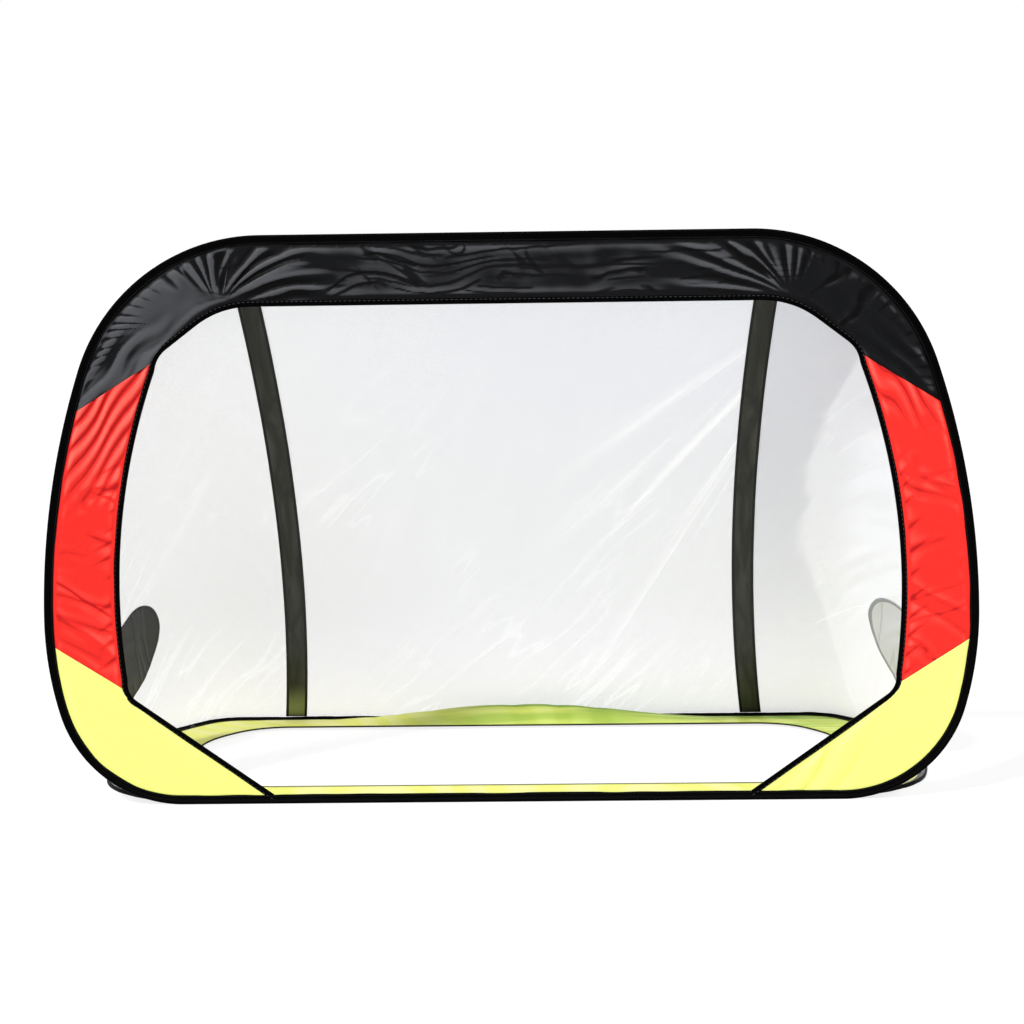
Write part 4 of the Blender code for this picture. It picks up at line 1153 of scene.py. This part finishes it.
ring, ripples = ground_cloth()
steps_per_metre = GROUND_STEPS / 2 / base_hoop.length
front_seam, rear_seam = (round(base_hoop.starts[k] * steps_per_metre) for k in (1, 5))
strips = {
    "front": np.arange(-front_seam, front_seam + 1),
    "right": np.arange(front_seam, rear_seam + 1),
    "rear": np.arange(rear_seam, GROUND_STEPS - rear_seam + 1),
    "left": np.arange(GROUND_STEPS - rear_seam, GROUND_STEPS - front_seam + 1),
}
for name, columns in strips.items():
    points = ring[columns]
    piece = grid_object(f"ground_{name}_cloth", points, ring_yellow)
    store(piece, "relief", ripples[columns])
    thicken(piece, CLOTH_THICKNESS)
    grid_area(points)
    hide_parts(f"base_panel_{name}")
    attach(piece, "base")
print("ground cloth strips:", {name: len(columns) for name, columns in strips.items()})

# %% The hem of the ground cloth
HEM_TAPE_WIDTH, HEM_TAPE_HALF = 0.004, 0.0016
places, inwards = hem_loop.round_trip(TAPE_STEP)
hem_places = lying(places, GROUND_CLOTH_LEVEL, BASE_FRONT + RING_FRONT)
hem_places[:, 2] += hem_height(hem_places[:, 1])
hem_section = tape_section(HEM_TAPE_WIDTH, HEM_TAPE_HALF)
hem_tape = sweep("hem_tape", hem_places, -lying(inwards, 0, 0), UPWARD, hem_section, hem_cloth)
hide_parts(*(f"base_hem_{name}" for name in strips))
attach(hem_tape, "base")
print(f"hem tape: {len(hem_places)} places")

# %% [markdown]
# The net is drawn from the back of the standing sleeve to the top of the ground sleeve, and sinks in
# between them. That is a rule, so Geometry Nodes make it: three curves, the upper edge, the middle
# line and the lower edge, and a grid that is laid over them. The tree's inputs set how fine the grid
# is and how deep its creases are.


# %% A tree that lays a net over three curves
class Tree(Nodes):
    """A Geometry Nodes tree, with named inputs."""

    def __init__(self, name, inputs):
        super().__init__(bpy.data.node_groups.new(name, "GeometryNodeTree"))
        self.tree.interface.new_socket("Geometry", in_out="OUTPUT", socket_type="NodeSocketGeometry")
        for label, kind in inputs.items():
            self.tree.interface.new_socket(label, in_out="INPUT", socket_type="NodeSocket" + kind)
        self.group = self.tree.nodes.new("NodeGroupInput")
        self.end = self.tree.nodes.new("NodeGroupOutput")

    def given(self, label):
        return Shade(self, self.group.outputs[label])

    def curve(self, label):
        """The curve of the object that is given under this label."""
        settings, sockets = {"transform_space": "RELATIVE"}, {"Object": self.given(label)}
        return self.node("GeometryNodeObjectInfo", settings, sockets, output="Geometry")

    def captured(self, geometry, value):
        """A geometry that keeps a value at each of its points, and the kept value."""
        keep = self.tree.nodes.new("GeometryNodeCaptureAttribute")
        keep.capture_items.new("FLOAT", "share")
        self.feed(keep.inputs["Geometry"], geometry)
        self.feed(keep.inputs["share"], value)
        return Shade(self, keep.outputs["Geometry"]), Shade(self, keep.outputs["share"])

    def scaled(self, vector, factor):
        return self.node("VectorMath", {"operation": "SCALE"}, {0: vector, "Scale": factor})

    def total(self, first, second):
        return self.node("VectorMath", {"operation": "ADD"}, {0: first, 1: second})

    def finish(self, geometry, material):
        real = self.node("GeometryNodeRealizeInstances", None, {"Geometry": geometry})
        done = self.node("GeometryNodeSetMaterial", None, {"Geometry": real, "Material": material})
        self.feed(self.end.inputs[0], done)
        return self.tree


def made_by(tree, name, values):
    """Runs a tree with these values of its named inputs, and keeps the result as a plain mesh."""
    empty = bpy.data.objects.new("work", bpy.data.meshes.new("work"))
    bpy.context.scene.collection.objects.link(empty)
    modifier = empty.modifiers.new("tree", "NODES")
    modifier.node_group = tree
    sockets = {item.name: item.identifier for item in tree.interface.items_tree if item.in_out == "INPUT"}
    for label, value in values.items():
        modifier[sockets[label]] = value
    empty.update_tag()
    bpy.context.view_layer.update()
    depsgraph = bpy.context.evaluated_depsgraph_get()
    mesh = bpy.data.meshes.new_from_object(empty.evaluated_get(depsgraph), depsgraph=depsgraph)
    empty.modifiers.remove(modifier)
    bpy.data.objects.remove(empty)
    mesh.name = name
    made = bpy.data.objects.new(name, mesh)
    bpy.context.scene.collection.objects.link(made)
    return made


NET_CURVES = ("Upper edge", "Middle line", "Lower edge")
NET_NUMBERS = {"Columns": "Int", "Rows": "Int", "Width": "Float", "Length": "Float"}
CREASE_NUMBERS = {"Crease depth": "Float", "Crease lean": "Float"}
CREASE_NOISE = {"Scale": 11.0, "Detail": 1.0, "Roughness": 0.4, "Distortion": 0.15}
CREASE_STRETCH, CREASE_SPREAD = 0.2, 3.0


def net_tree():
    """Lays a grid over three curves. From the upper edge to the lower one, each line of the net is the
    parabola that runs through the middle line halfway down."""
    curves = {label: "Object" for label in NET_CURVES}
    net = Tree("net_over_three_curves", {**curves, **NET_NUMBERS, **CREASE_NUMBERS, "Material": "Material"})
    counts = {"Vertices X": net.given("Columns"), "Vertices Y": net.given("Rows")}
    grid = net.node("GeometryNodeMeshGrid", None, {"Size X": 1.0, "Size Y": 1.0, **counts})
    x, y = net.parts(net.node("GeometryNodeInputPosition"), 2)
    grid, along = net.captured(grid, x + 0.5)
    grid, down = net.captured(grid, 0.5 - y)
    up = 1.0 - down
    parts = []
    for label, share in zip(NET_CURVES, (up * (up - down), up * down * 4.0, down * (down - up))):
        sampled = net.tree.nodes.new("GeometryNodeSampleCurve")
        sampled.mode = "FACTOR"
        sampled.use_all_curves = True
        net.feed(sampled.inputs["Curves"], net.curve(label))
        net.feed(sampled.inputs["Factor"], along)
        parts.append(net.scaled(Shade(net, sampled.outputs["Position"]), share))
    place = net.total(net.total(parts[0], parts[1]), parts[2])
    laid = net.node("GeometryNodeSetPosition", None, {"Geometry": grid, "Position": place})
    across, length, lean = along * net.given("Width"), down * net.given("Length"), net.given("Crease lean")
    stretched = net.joined(across + length * lean, (length - across * lean) * CREASE_STRETCH)
    lumps = net.node("TexNoise", None, {"Vector": stretched, **CREASE_NOISE}) - 0.5
    held = (down * math.pi).sine() * net.given("Crease depth")
    offset = net.scaled(net.node("GeometryNodeInputNormal"), lumps * CREASE_SPREAD * held)
    creased = net.node("GeometryNodeSetPosition", None, {"Geometry": laid, "Offset": offset})
    settings = {"data_type": "FLOAT2", "domain": "CORNER"}
    sockets = {"Geometry": creased, "Name": "cloth", "Value": net.joined(across, length)}
    mapped = net.node("GeometryNodeStoreNamedAttribute", settings, sockets)
    smooth = net.node("GeometryNodeSetShadeSmooth", None, {"Geometry": mapped})
    return net.finish(smooth, net.given("Material"))


lay_net = net_tree()
print("net tree nodes:", len(lay_net.nodes))

# %% [markdown]
# The net's lines are worked out from the hoops, as the sewer would mark them: where the two dark
# bands start on the standing hoop and where they end on the ground hoop, and where the black gussets
# begin at the front corners.

# %% Lines of the net
BAND_TOP_HALF, BAND_BACK_HALF = 0.517, 0.506
BAND_BOW = 0.037
GUSSET_OUTER, GUSSET_INNER = BASE_HALF_WIDTH - 0.091, BASE_HALF_WIDTH - 0.226
NET_INSET, NET_STAND_OFF = 0.0135, 0.0007
NET_TOP_Y = FRONT_PLANE + SLEEVE_LEG + NET_STAND_OFF
NET_FOOT_Z = 2 * BULB + NET_STAND_OFF
REAR_SAG, SIDE_SAG = 0.014, 0.022
LINE_POINTS = 90


def over(top_x, back_x):
    """Lengths on the standing hoop's top and the ground hoop's back where a line of the net ends."""
    return (
        front_hoop.length_where(0, top_x, front_hoop.widest, front_hoop.length),
        base_hoop.length_where(0, back_x, base_hoop.widest, base_hoop.length),
    )


def under(x):
    """Lengths on the fronts of both hoops where a line of the net ends."""
    return tuple(hoop.length_where(0, x, 0, hoop.widest) for hoop in (front_hoop, base_hoop))


def curve_object(name, points):
    """A poly curve through points, which isn't shown."""
    curve = bpy.data.curves.new(name, "CURVE")
    curve.dimensions = "3D"
    spline = curve.splines.new("POLY")
    spline.points.add(len(points) - 1)
    spline.points.foreach_set("co", np.concatenate([points, np.ones((len(points), 1))], 1).ravel())
    made = bpy.data.objects.new(name, curve)
    bpy.context.scene.collection.objects.link(made)
    return made


def net_lines(start, end, sag, bow, side=1, whole=False):
    """The upper edge, middle line and lower edge of a stretch of net. sag and bow are functions of
    the share of the way along it: how deep it sinks in, and how far it bows inwards."""
    share = np.linspace(0, 1, LINE_POINTS)
    top = standing(front_hoop.inset(lerp(start[0], end[0], share), NET_INSET), NET_TOP_Y)
    foot = lying(base_hoop.inset(lerp(start[1], end[1], share), BULB), NET_FOOT_Z)
    middle = (top + foot) / 2
    across = np.gradient(middle, axis=0)
    normal = np.cross(across, foot - top)
    normal /= np.linalg.norm(normal, axis=1)[:, None]
    middle = middle - normal * sag(share)[:, None]
    middle[:, 0] -= bow(share) * BAND_BOW
    lines = [line * np.array([side, 1, 1]) for line in (top, middle, foot)]
    if whole:
        lines = [np.concatenate([line[:0:-1] * np.array([-1, 1, 1]), line]) for line in lines]
    return lines


def lay(name, lines, step, crease, lean, material):
    """Lays a net over three lines and returns it with its flat size."""
    width = max(float(np.linalg.norm(np.diff(line, axis=0), axis=1).sum()) for line in lines)
    length = float(np.linalg.norm(lines[0] - lines[2], axis=1).max())
    curves = [curve_object(f"{name}_line_{k}", line) for k, line in enumerate(lines)]
    values = {
        **dict(zip(NET_CURVES, curves)),
        "Columns": round(width / step) + 1,
        "Rows": round(length / step) + 1,
        "Width": width,
        "Length": length,
        "Crease depth": crease,
        "Crease lean": lean,
        "Material": material,
    }
    made = made_by(lay_net, name, values)
    for curve in curves:
        bpy.data.objects.remove(curve)
    return made, (width, length)


def mesh_area(piece):
    return sum(face.area for face in piece.data.polygons)


centre = (front_hoop.length, base_hoop.length)
half_band = BAND_WIDTH / 2
band_inner = over(BAND_TOP_HALF - half_band, BAND_BACK_HALF - half_band)
band_outer = over(BAND_TOP_HALF + half_band, BAND_BACK_HALF + half_band)
gusset_outer, gusset_inner = under(GUSSET_OUTER), under(GUSSET_INNER)


def rear_sag(t):
    return np.full_like(t, REAR_SAG)


def side_sag(t):
    return lerp(REAR_SAG, SIDE_SAG, np.minimum(3 * t, 1)) * (1 - t**4)


# %% [markdown]
# When the standing hoop folds down, the net folds flat between the hoops. Here each net piece keeps
# its place at rest, and the angle at which it would come to lie is worked out.


# %% How the net folds
GROUND_LIFT, PATCH_LIFT = 0.0030, 0.0035
NEAREST = 0.01
BILLOW_NEAR, BILLOW_FAR = (0.70, 0.78), (0.84, 0.90)


def fold_down(piece, lift):
    """Bakes the piece's place, keeps its place at rest for its material, and works out the angle about
    the hinge at which it would stop when folded: a lift above the hinge, or above the ring's loose fold.
    The angle isn't applied here."""
    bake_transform(piece)
    points = np.zeros(len(piece.data.vertices) * 3)
    piece.data.vertices.foreach_get("co", points)
    kept = piece.data.attributes.new("rest_place", "FLOAT_VECTOR", "POINT")
    kept.data.foreach_set("vector", points)
    x, y, z = (points.reshape(-1, 3) - np.array(hinge)).T
    far = np.maximum(np.hypot(y, z), NEAREST)
    billow = BILLOW_HEIGHT * np.exp(-((x / (1.2 * BILLOW_HALF_LENGTH)) ** 2))
    billow = billow * step_up(*BILLOW_NEAR, far) * (1 - step_up(*BILLOW_FAR, far))
    rest = np.arctan2((lift + billow) * step_up(0.0, 0.05, z), far)


# %% The mesh panels
NET_STEP = 0.008
NET_THICKNESS = 0.0004
NET_CREASE, REAR_CREASE_LEAN, SIDE_CREASE_LEAN = 0.005, 0.25, 0.8

rear_lines = net_lines(centre, band_inner, rear_sag, lambda t: t**2, whole=True)
rear_net, rear_size = lay("rear_net", rear_lines, NET_STEP, NET_CREASE, REAR_CREASE_LEAN, white_mesh)
nets = [(rear_net, rear_size, "net_rear")]
for name, side in SIDES:
    lines = net_lines(band_outer, gusset_outer, side_sag, lambda t: (1 - t) ** 2, side)
    piece, size = lay(f"side_net_{name}", lines, NET_STEP, NET_CREASE, SIDE_CREASE_LEAN, white_mesh)
    nets.append((piece, size, f"net_{name}"))
for piece, size, node in nets:
    area = mesh_area(piece)
    thicken(piece, NET_THICKNESS)
    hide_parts(node)
    fold_down(piece, GROUND_LIFT)
print("mesh panels:", {piece.name: len(piece.data.polygons) for piece, _, _ in nets})

# %% Bands, gussets and the tape at the hinge
BAND_STEP, SMALL_STEP = 0.006, 0.003
BAND_CREASE, GUSSET_CREASE, GUSSET_CREASE_LEAN = 0.002, 0.003, 0.5
GUSSET_SHADED_RELIEF = 0.3
HINGE_TAPE_WIDTH = 0.012

dark_pieces = []
for name, side in SIDES:
    lines = net_lines(band_inner, band_outer, rear_sag, np.ones_like, side)
    piece, size = lay(f"band_{name}", lines, BAND_STEP, BAND_CREASE, 0.0, band_cloth)
    dark_pieces.append((piece, size, f"rear_band_{name}", "dark_band"))
    lines = net_lines(gusset_outer, gusset_inner, np.zeros_like, np.zeros_like, side)
    piece, size = lay(f"gusset_{name}", lines, SMALL_STEP, GUSSET_CREASE, GUSSET_CREASE_LEAN, black)
    # A relief below the middle paints the gussets part of the way to the valleys' painted shade.
    store(piece, "relief", np.full(len(piece.data.vertices), GUSSET_SHADED_RELIEF))
    dark_pieces.append((piece, size, f"corner_gusset_{name}", "black_nylon"))
lines = net_lines((0.0, 0.0), gusset_inner, np.zeros_like, np.zeros_like, whole=True)
piece, size = lay("hinge_strip", lines, SMALL_STEP, 0.0, 0.0, binding)
dark_pieces.append((piece, (size[0], HINGE_TAPE_WIDTH), "hinge_tape", "binding_tape"))
for piece, size, node, slot in dark_pieces:
    area = mesh_area(piece)
    thicken(piece, NET_THICKNESS)
    min(area, size[0] * size[1])
    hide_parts(node)
    fold_down(piece, GROUND_LIFT)
print("bands and gussets:", [piece.name for piece, _, _, _ in dark_pieces])

# %% [markdown]
# Each side net carries a round patch. It is a disc laid on the net's inside: rings of points round
# a centre are moved onto the net along its normal, and the rim is a narrow doubled band.

# %% The round patches
PATCH_RINGS, PATCH_TURNS = 26, 120
PATCH_STAND_OFF, RIM_STAND_OFF = 0.0011, 0.0006
PATCH_SHIFT = 0.012
RAY_START, SMALLEST_RING = 0.15, 1e-4


def patch_points(name, side):
    """A polar grid of points on the inside of a side net."""
    cloth, solid = bpy.data.objects[f"side_net_{name}"], frame["nodes"][f"side_patch_{name}"]
    faces = [tuple(face.vertices) for face in cloth.data.polygons]
    tree = BVHTree.FromPolygons([point.co for point in cloth.data.vertices], faces)
    corners = [solid.matrix_world @ point.co for point in solid.data.vertices]
    middle = sum(corners, Vector()) / len(corners)
    middle.y += PATCH_SHIFT * side
    place, normal, _, _ = tree.find_nearest(middle)
    normal = normal if normal.x * side > 0 else -normal
    across = Vector((0, 1, 0)).cross(normal).normalized()
    upwards = normal.cross(across)
    rings = np.linspace(0, PATCH_RADIUS, PATCH_RINGS + 1)
    turns = np.linspace(0, 2 * math.pi, PATCH_TURNS, endpoint=False)
    points = np.zeros((PATCH_TURNS, PATCH_RINGS + 1, 3))
    for i, turn in enumerate(turns):
        for j, ring_radius in enumerate(rings):
            way = across * math.cos(turn) + upwards * math.sin(turn)
            start = place + way * max(ring_radius, SMALLEST_RING)
            hit, _, _, _ = tree.ray_cast(start + normal * RAY_START, -normal)
            hit = hit if hit is not None else start
            rim = RIM_STAND_OFF if ring_radius > RIM_START else 0.0
            points[i, j] = hit - normal * (PATCH_STAND_OFF + rim)
    return points


for name, side, material in (("right", 1, patch_right), ("left", -1, patch_left)):
    points = patch_points(name, side)
    piece = grid_object(f"patch_{name}", points, material, wrap=(True, False), flip=side < 0)
    thicken(piece, CLOTH_THICKNESS)
    size = 2 * PATCH_RADIUS
    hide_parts(f"side_patch_{name}")
    fold_down(piece, PATCH_LIFT)
print("patches:", PATCH_TURNS * PATCH_RINGS, "faces each")

# %% [markdown]
# Stitches repeat at a steady pitch along a line, which is what Geometry Nodes are best at. The tree
# spreads points along a curve, turns a small thread loop to lie along it, and copies it to each one.


# %% A tree that sews a line
STITCH_NUMBERS = {"Pitch": "Float", "Length": "Float", "Width": "Float", "Facing": "Vector"}
STITCH_PITCH, STITCH_LENGTH, STITCH_WIDTH = 0.0042, 0.0030, 0.0007
SEAM_INSET, TAPE_SEAM_INSET = 0.0025, 0.0022
MOUTH_STITCHES_LARGER = 2.2
STITCH_BALL = {"Segments": 6, "Rings": 4, "Radius": 0.5}
STITCH_FACES = 24
ALIGN = "FunctionNodeAlignRotationToVector"


def stitch_tree():
    sew = Tree("sewn_line", {"Line": "Object", **STITCH_NUMBERS, "Material": "Material"})
    points = sew.tree.nodes.new("GeometryNodeCurveToPoints")
    points.mode = "LENGTH"
    sew.feed(points.inputs["Curve"], sew.curve("Line"))
    sew.feed(points.inputs["Length"], sew.given("Pitch"))
    spots, tangent = Shade(sew, points.outputs["Points"]), Shade(sew, points.outputs["Tangent"])
    turned = sew.node(ALIGN, {"axis": "Z"}, {"Vector": sew.given("Facing")})
    turned = sew.node(ALIGN, {"axis": "X", "pivot_axis": "Z"}, {"Rotation": turned, "Vector": tangent})
    ball = sew.node("GeometryNodeMeshUVSphere", None, STITCH_BALL)
    size = sew.joined(sew.given("Length"), sew.given("Width"), sew.given("Width"))
    sockets = {"Points": spots, "Instance": ball, "Rotation": turned, "Scale": size}
    return sew.finish(sew.node("GeometryNodeInstanceOnPoints", None, sockets), sew.given("Material"))


sew_line = stitch_tree()


def sewn(name, points, facing, material, body, larger=1.0):
    """A row of stitches along points, on the side that faces this way."""
    line = curve_object(f"{name}_line", points)
    pitch, length = STITCH_PITCH * larger, STITCH_LENGTH * larger
    values = {"Line": line, "Pitch": pitch, "Length": length, "Width": STITCH_WIDTH}
    made = made_by(sew_line, name, {**values, "Facing": facing, "Material": material})
    bpy.data.objects.remove(line)
    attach(made, body)
    return made


def loop(points):
    return np.concatenate([points, points[:1]])


FACES = (("front", -1), ("back", 1))
places, inwards = front_hoop.round_trip(TAPE_STEP)
inner_line = places + inwards * (SLEEVE_WIDTH - SEAM_INSET)
tape_line = mouth_line + outwards * (MOUTH_TAPE_WIDTH - TAPE_SEAM_INSET)
rows = []
for name, side in FACES:
    line = loop(standing(inner_line, FRONT_PLANE + side * SLEEVE_LEG))
    rows.append(sewn(f"sleeve_stitches_{name}", line, (0, side, 0), thread, "front_frame"))
for name, side in FACES:
    line = standing(tape_line, FRONT_PLANE + side * MOUTH_TAPE_HALF)
    way, larger = (0, side, 0), MOUTH_STITCHES_LARGER
    rows.append(sewn(f"mouth_stitches_{name}", line, way, pale_thread, "front_frame", larger))
places, inwards = base_hoop.round_trip(TAPE_STEP)
inner_line = places + inwards * (SLEEVE_WIDTH - SEAM_INSET)
line = loop(lying(inner_line, 2 * SLEEVE_LEG))
rows.append(sewn("ground_sleeve_stitches", line, (0, 0, 1), thread, "base"))
print("rows of stitches:", {row.name: len(row.data.polygons) // STITCH_FACES for row in rows})

# %% [markdown]
# The picture is taken in a plain white studio, from the place where the photographer stood: a little
# to the right of the middle, above the top of the goal, and turned slightly down. The floor and the
# backdrop show as white to the camera, through the mesh and in reflections, and they light the goal
# only softly.

# %% Floor, light and camera
CAMERA_PLACE = Vector((0.17076, -6.19617, 1.22494))
CAMERA_TURN, CAMERA_TILT, CAMERA_ROLL = -0.02841, -0.11420, -0.01422
CAMERA_FOCAL_PIXELS = 3023.3
PICTURE_PIXELS = 1024
SENSOR_WIDTH = 36.0
SKY_COLOUR, SKY_STRENGTH = (0.93, 0.95, 1.0), 0.45
FLOOR_HALF, FLOOR_COLOUR = 40.0, (0.80, 0.80, 0.80)
FLOOR_GLOW, FLOOR_GLOW_SHARE = 1.24, 0.66


def seen_as(nodes, seen, lighting):
    """One shader for the camera, reflections and light that passes through, another for the rest."""
    seen_by = nodes.node("LightPath", output="Is Camera Ray")
    for kind in ("Is Glossy Ray", "Is Transmission Ray"):
        seen_by = seen_by.maths("MAXIMUM", nodes.node("LightPath", output=kind))
    return nodes.node("MixShader", None, {0: seen_by, 1: lighting, 2: seen})


world = bpy.data.worlds.new("studio")
world.use_nodes = True
bpy.context.scene.world = world
sky = Nodes(world.node_tree)
soft = sky.tree.nodes["Background"]
sky.feed(soft.inputs["Color"], SKY_COLOUR)
sky.feed(soft.inputs["Strength"], SKY_STRENGTH)
bright = sky.node("Background", None, {"Color": (1, 1, 1), "Strength": 1.0})
both = seen_as(sky, bright, Shade(sky, soft.outputs[0]))
sky.feed(sky.tree.nodes["World Output"].inputs["Surface"], both)

floor_mesh = bpy.data.meshes.new("floor")
floor_corners = [(x * FLOOR_HALF, y * FLOOR_HALF, 0) for x, y in ((-1, -1), (1, -1), (1, 1), (-1, 1))]
floor_mesh.from_pydata(floor_corners, [], [(0, 1, 2, 3)])
floor = bpy.data.objects.new("floor", floor_mesh)
bpy.context.scene.collection.objects.link(floor)
paint = Paint("white_floor")
floor.data.materials.append(paint.finish(Base_Color=FLOOR_COLOUR, Roughness=0.9))
plain = Shade(paint, paint.shader.outputs[0])
glow = paint.node("Emission", None, {"Strength": FLOOR_GLOW})
shown = paint.node("MixShader", None, {0: FLOOR_GLOW_SHARE, 1: plain, 2: glow})
paint.feed(paint.tree.nodes["Material Output"].inputs["Surface"], seen_as(paint, shown, plain))


def lamp(name, kind, place, aim, strength, size):
    """A sun or an area lamp. size is an angle for the one and metres for the other."""
    data = bpy.data.lights.new(name, kind)
    data.energy = strength
    if kind == "AREA":
        data.size = size
    else:
        data.angle = size
    made = bpy.data.objects.new(name, data)
    made.location = place
    made.rotation_euler = (Vector(aim) - Vector(place)).to_track_quat("-Z", "Y").to_euler()
    bpy.context.scene.collection.objects.link(made)


lamp("key", "SUN", (-3.0, -4.5, 5.5), (0, 0, 0.4), 2.5, math.radians(5))
lamp("fill", "AREA", (3.5, -4.0, 2.2), (0, 0, 0.5), 40, 3.0)

camera_data = bpy.data.cameras.new("camera")
camera_data.sensor_width = SENSOR_WIDTH
camera_data.lens = CAMERA_FOCAL_PIXELS / PICTURE_PIXELS * camera_data.sensor_width
camera = bpy.data.objects.new("camera", camera_data)
cos_tilt = math.cos(CAMERA_TILT)
ahead = Vector((math.sin(CAMERA_TURN) * cos_tilt, math.cos(CAMERA_TURN) * cos_tilt, math.sin(CAMERA_TILT)))
level = Vector((math.cos(CAMERA_TURN), -math.sin(CAMERA_TURN), 0))
upward = level.cross(ahead)
right = level * math.cos(CAMERA_ROLL) + upward * math.sin(CAMERA_ROLL)
upward = upward * math.cos(CAMERA_ROLL) - level * math.sin(CAMERA_ROLL)
facing = Matrix((right, upward, -ahead)).transposed().to_4x4()
camera.matrix_world = Matrix.Translation(CAMERA_PLACE) @ facing
bpy.context.scene.collection.objects.link(camera)
bpy.context.scene.camera = camera
bpy.context.scene.view_settings.view_transform = "Standard"
print(f"camera lens {camera_data.lens:.1f} mm")
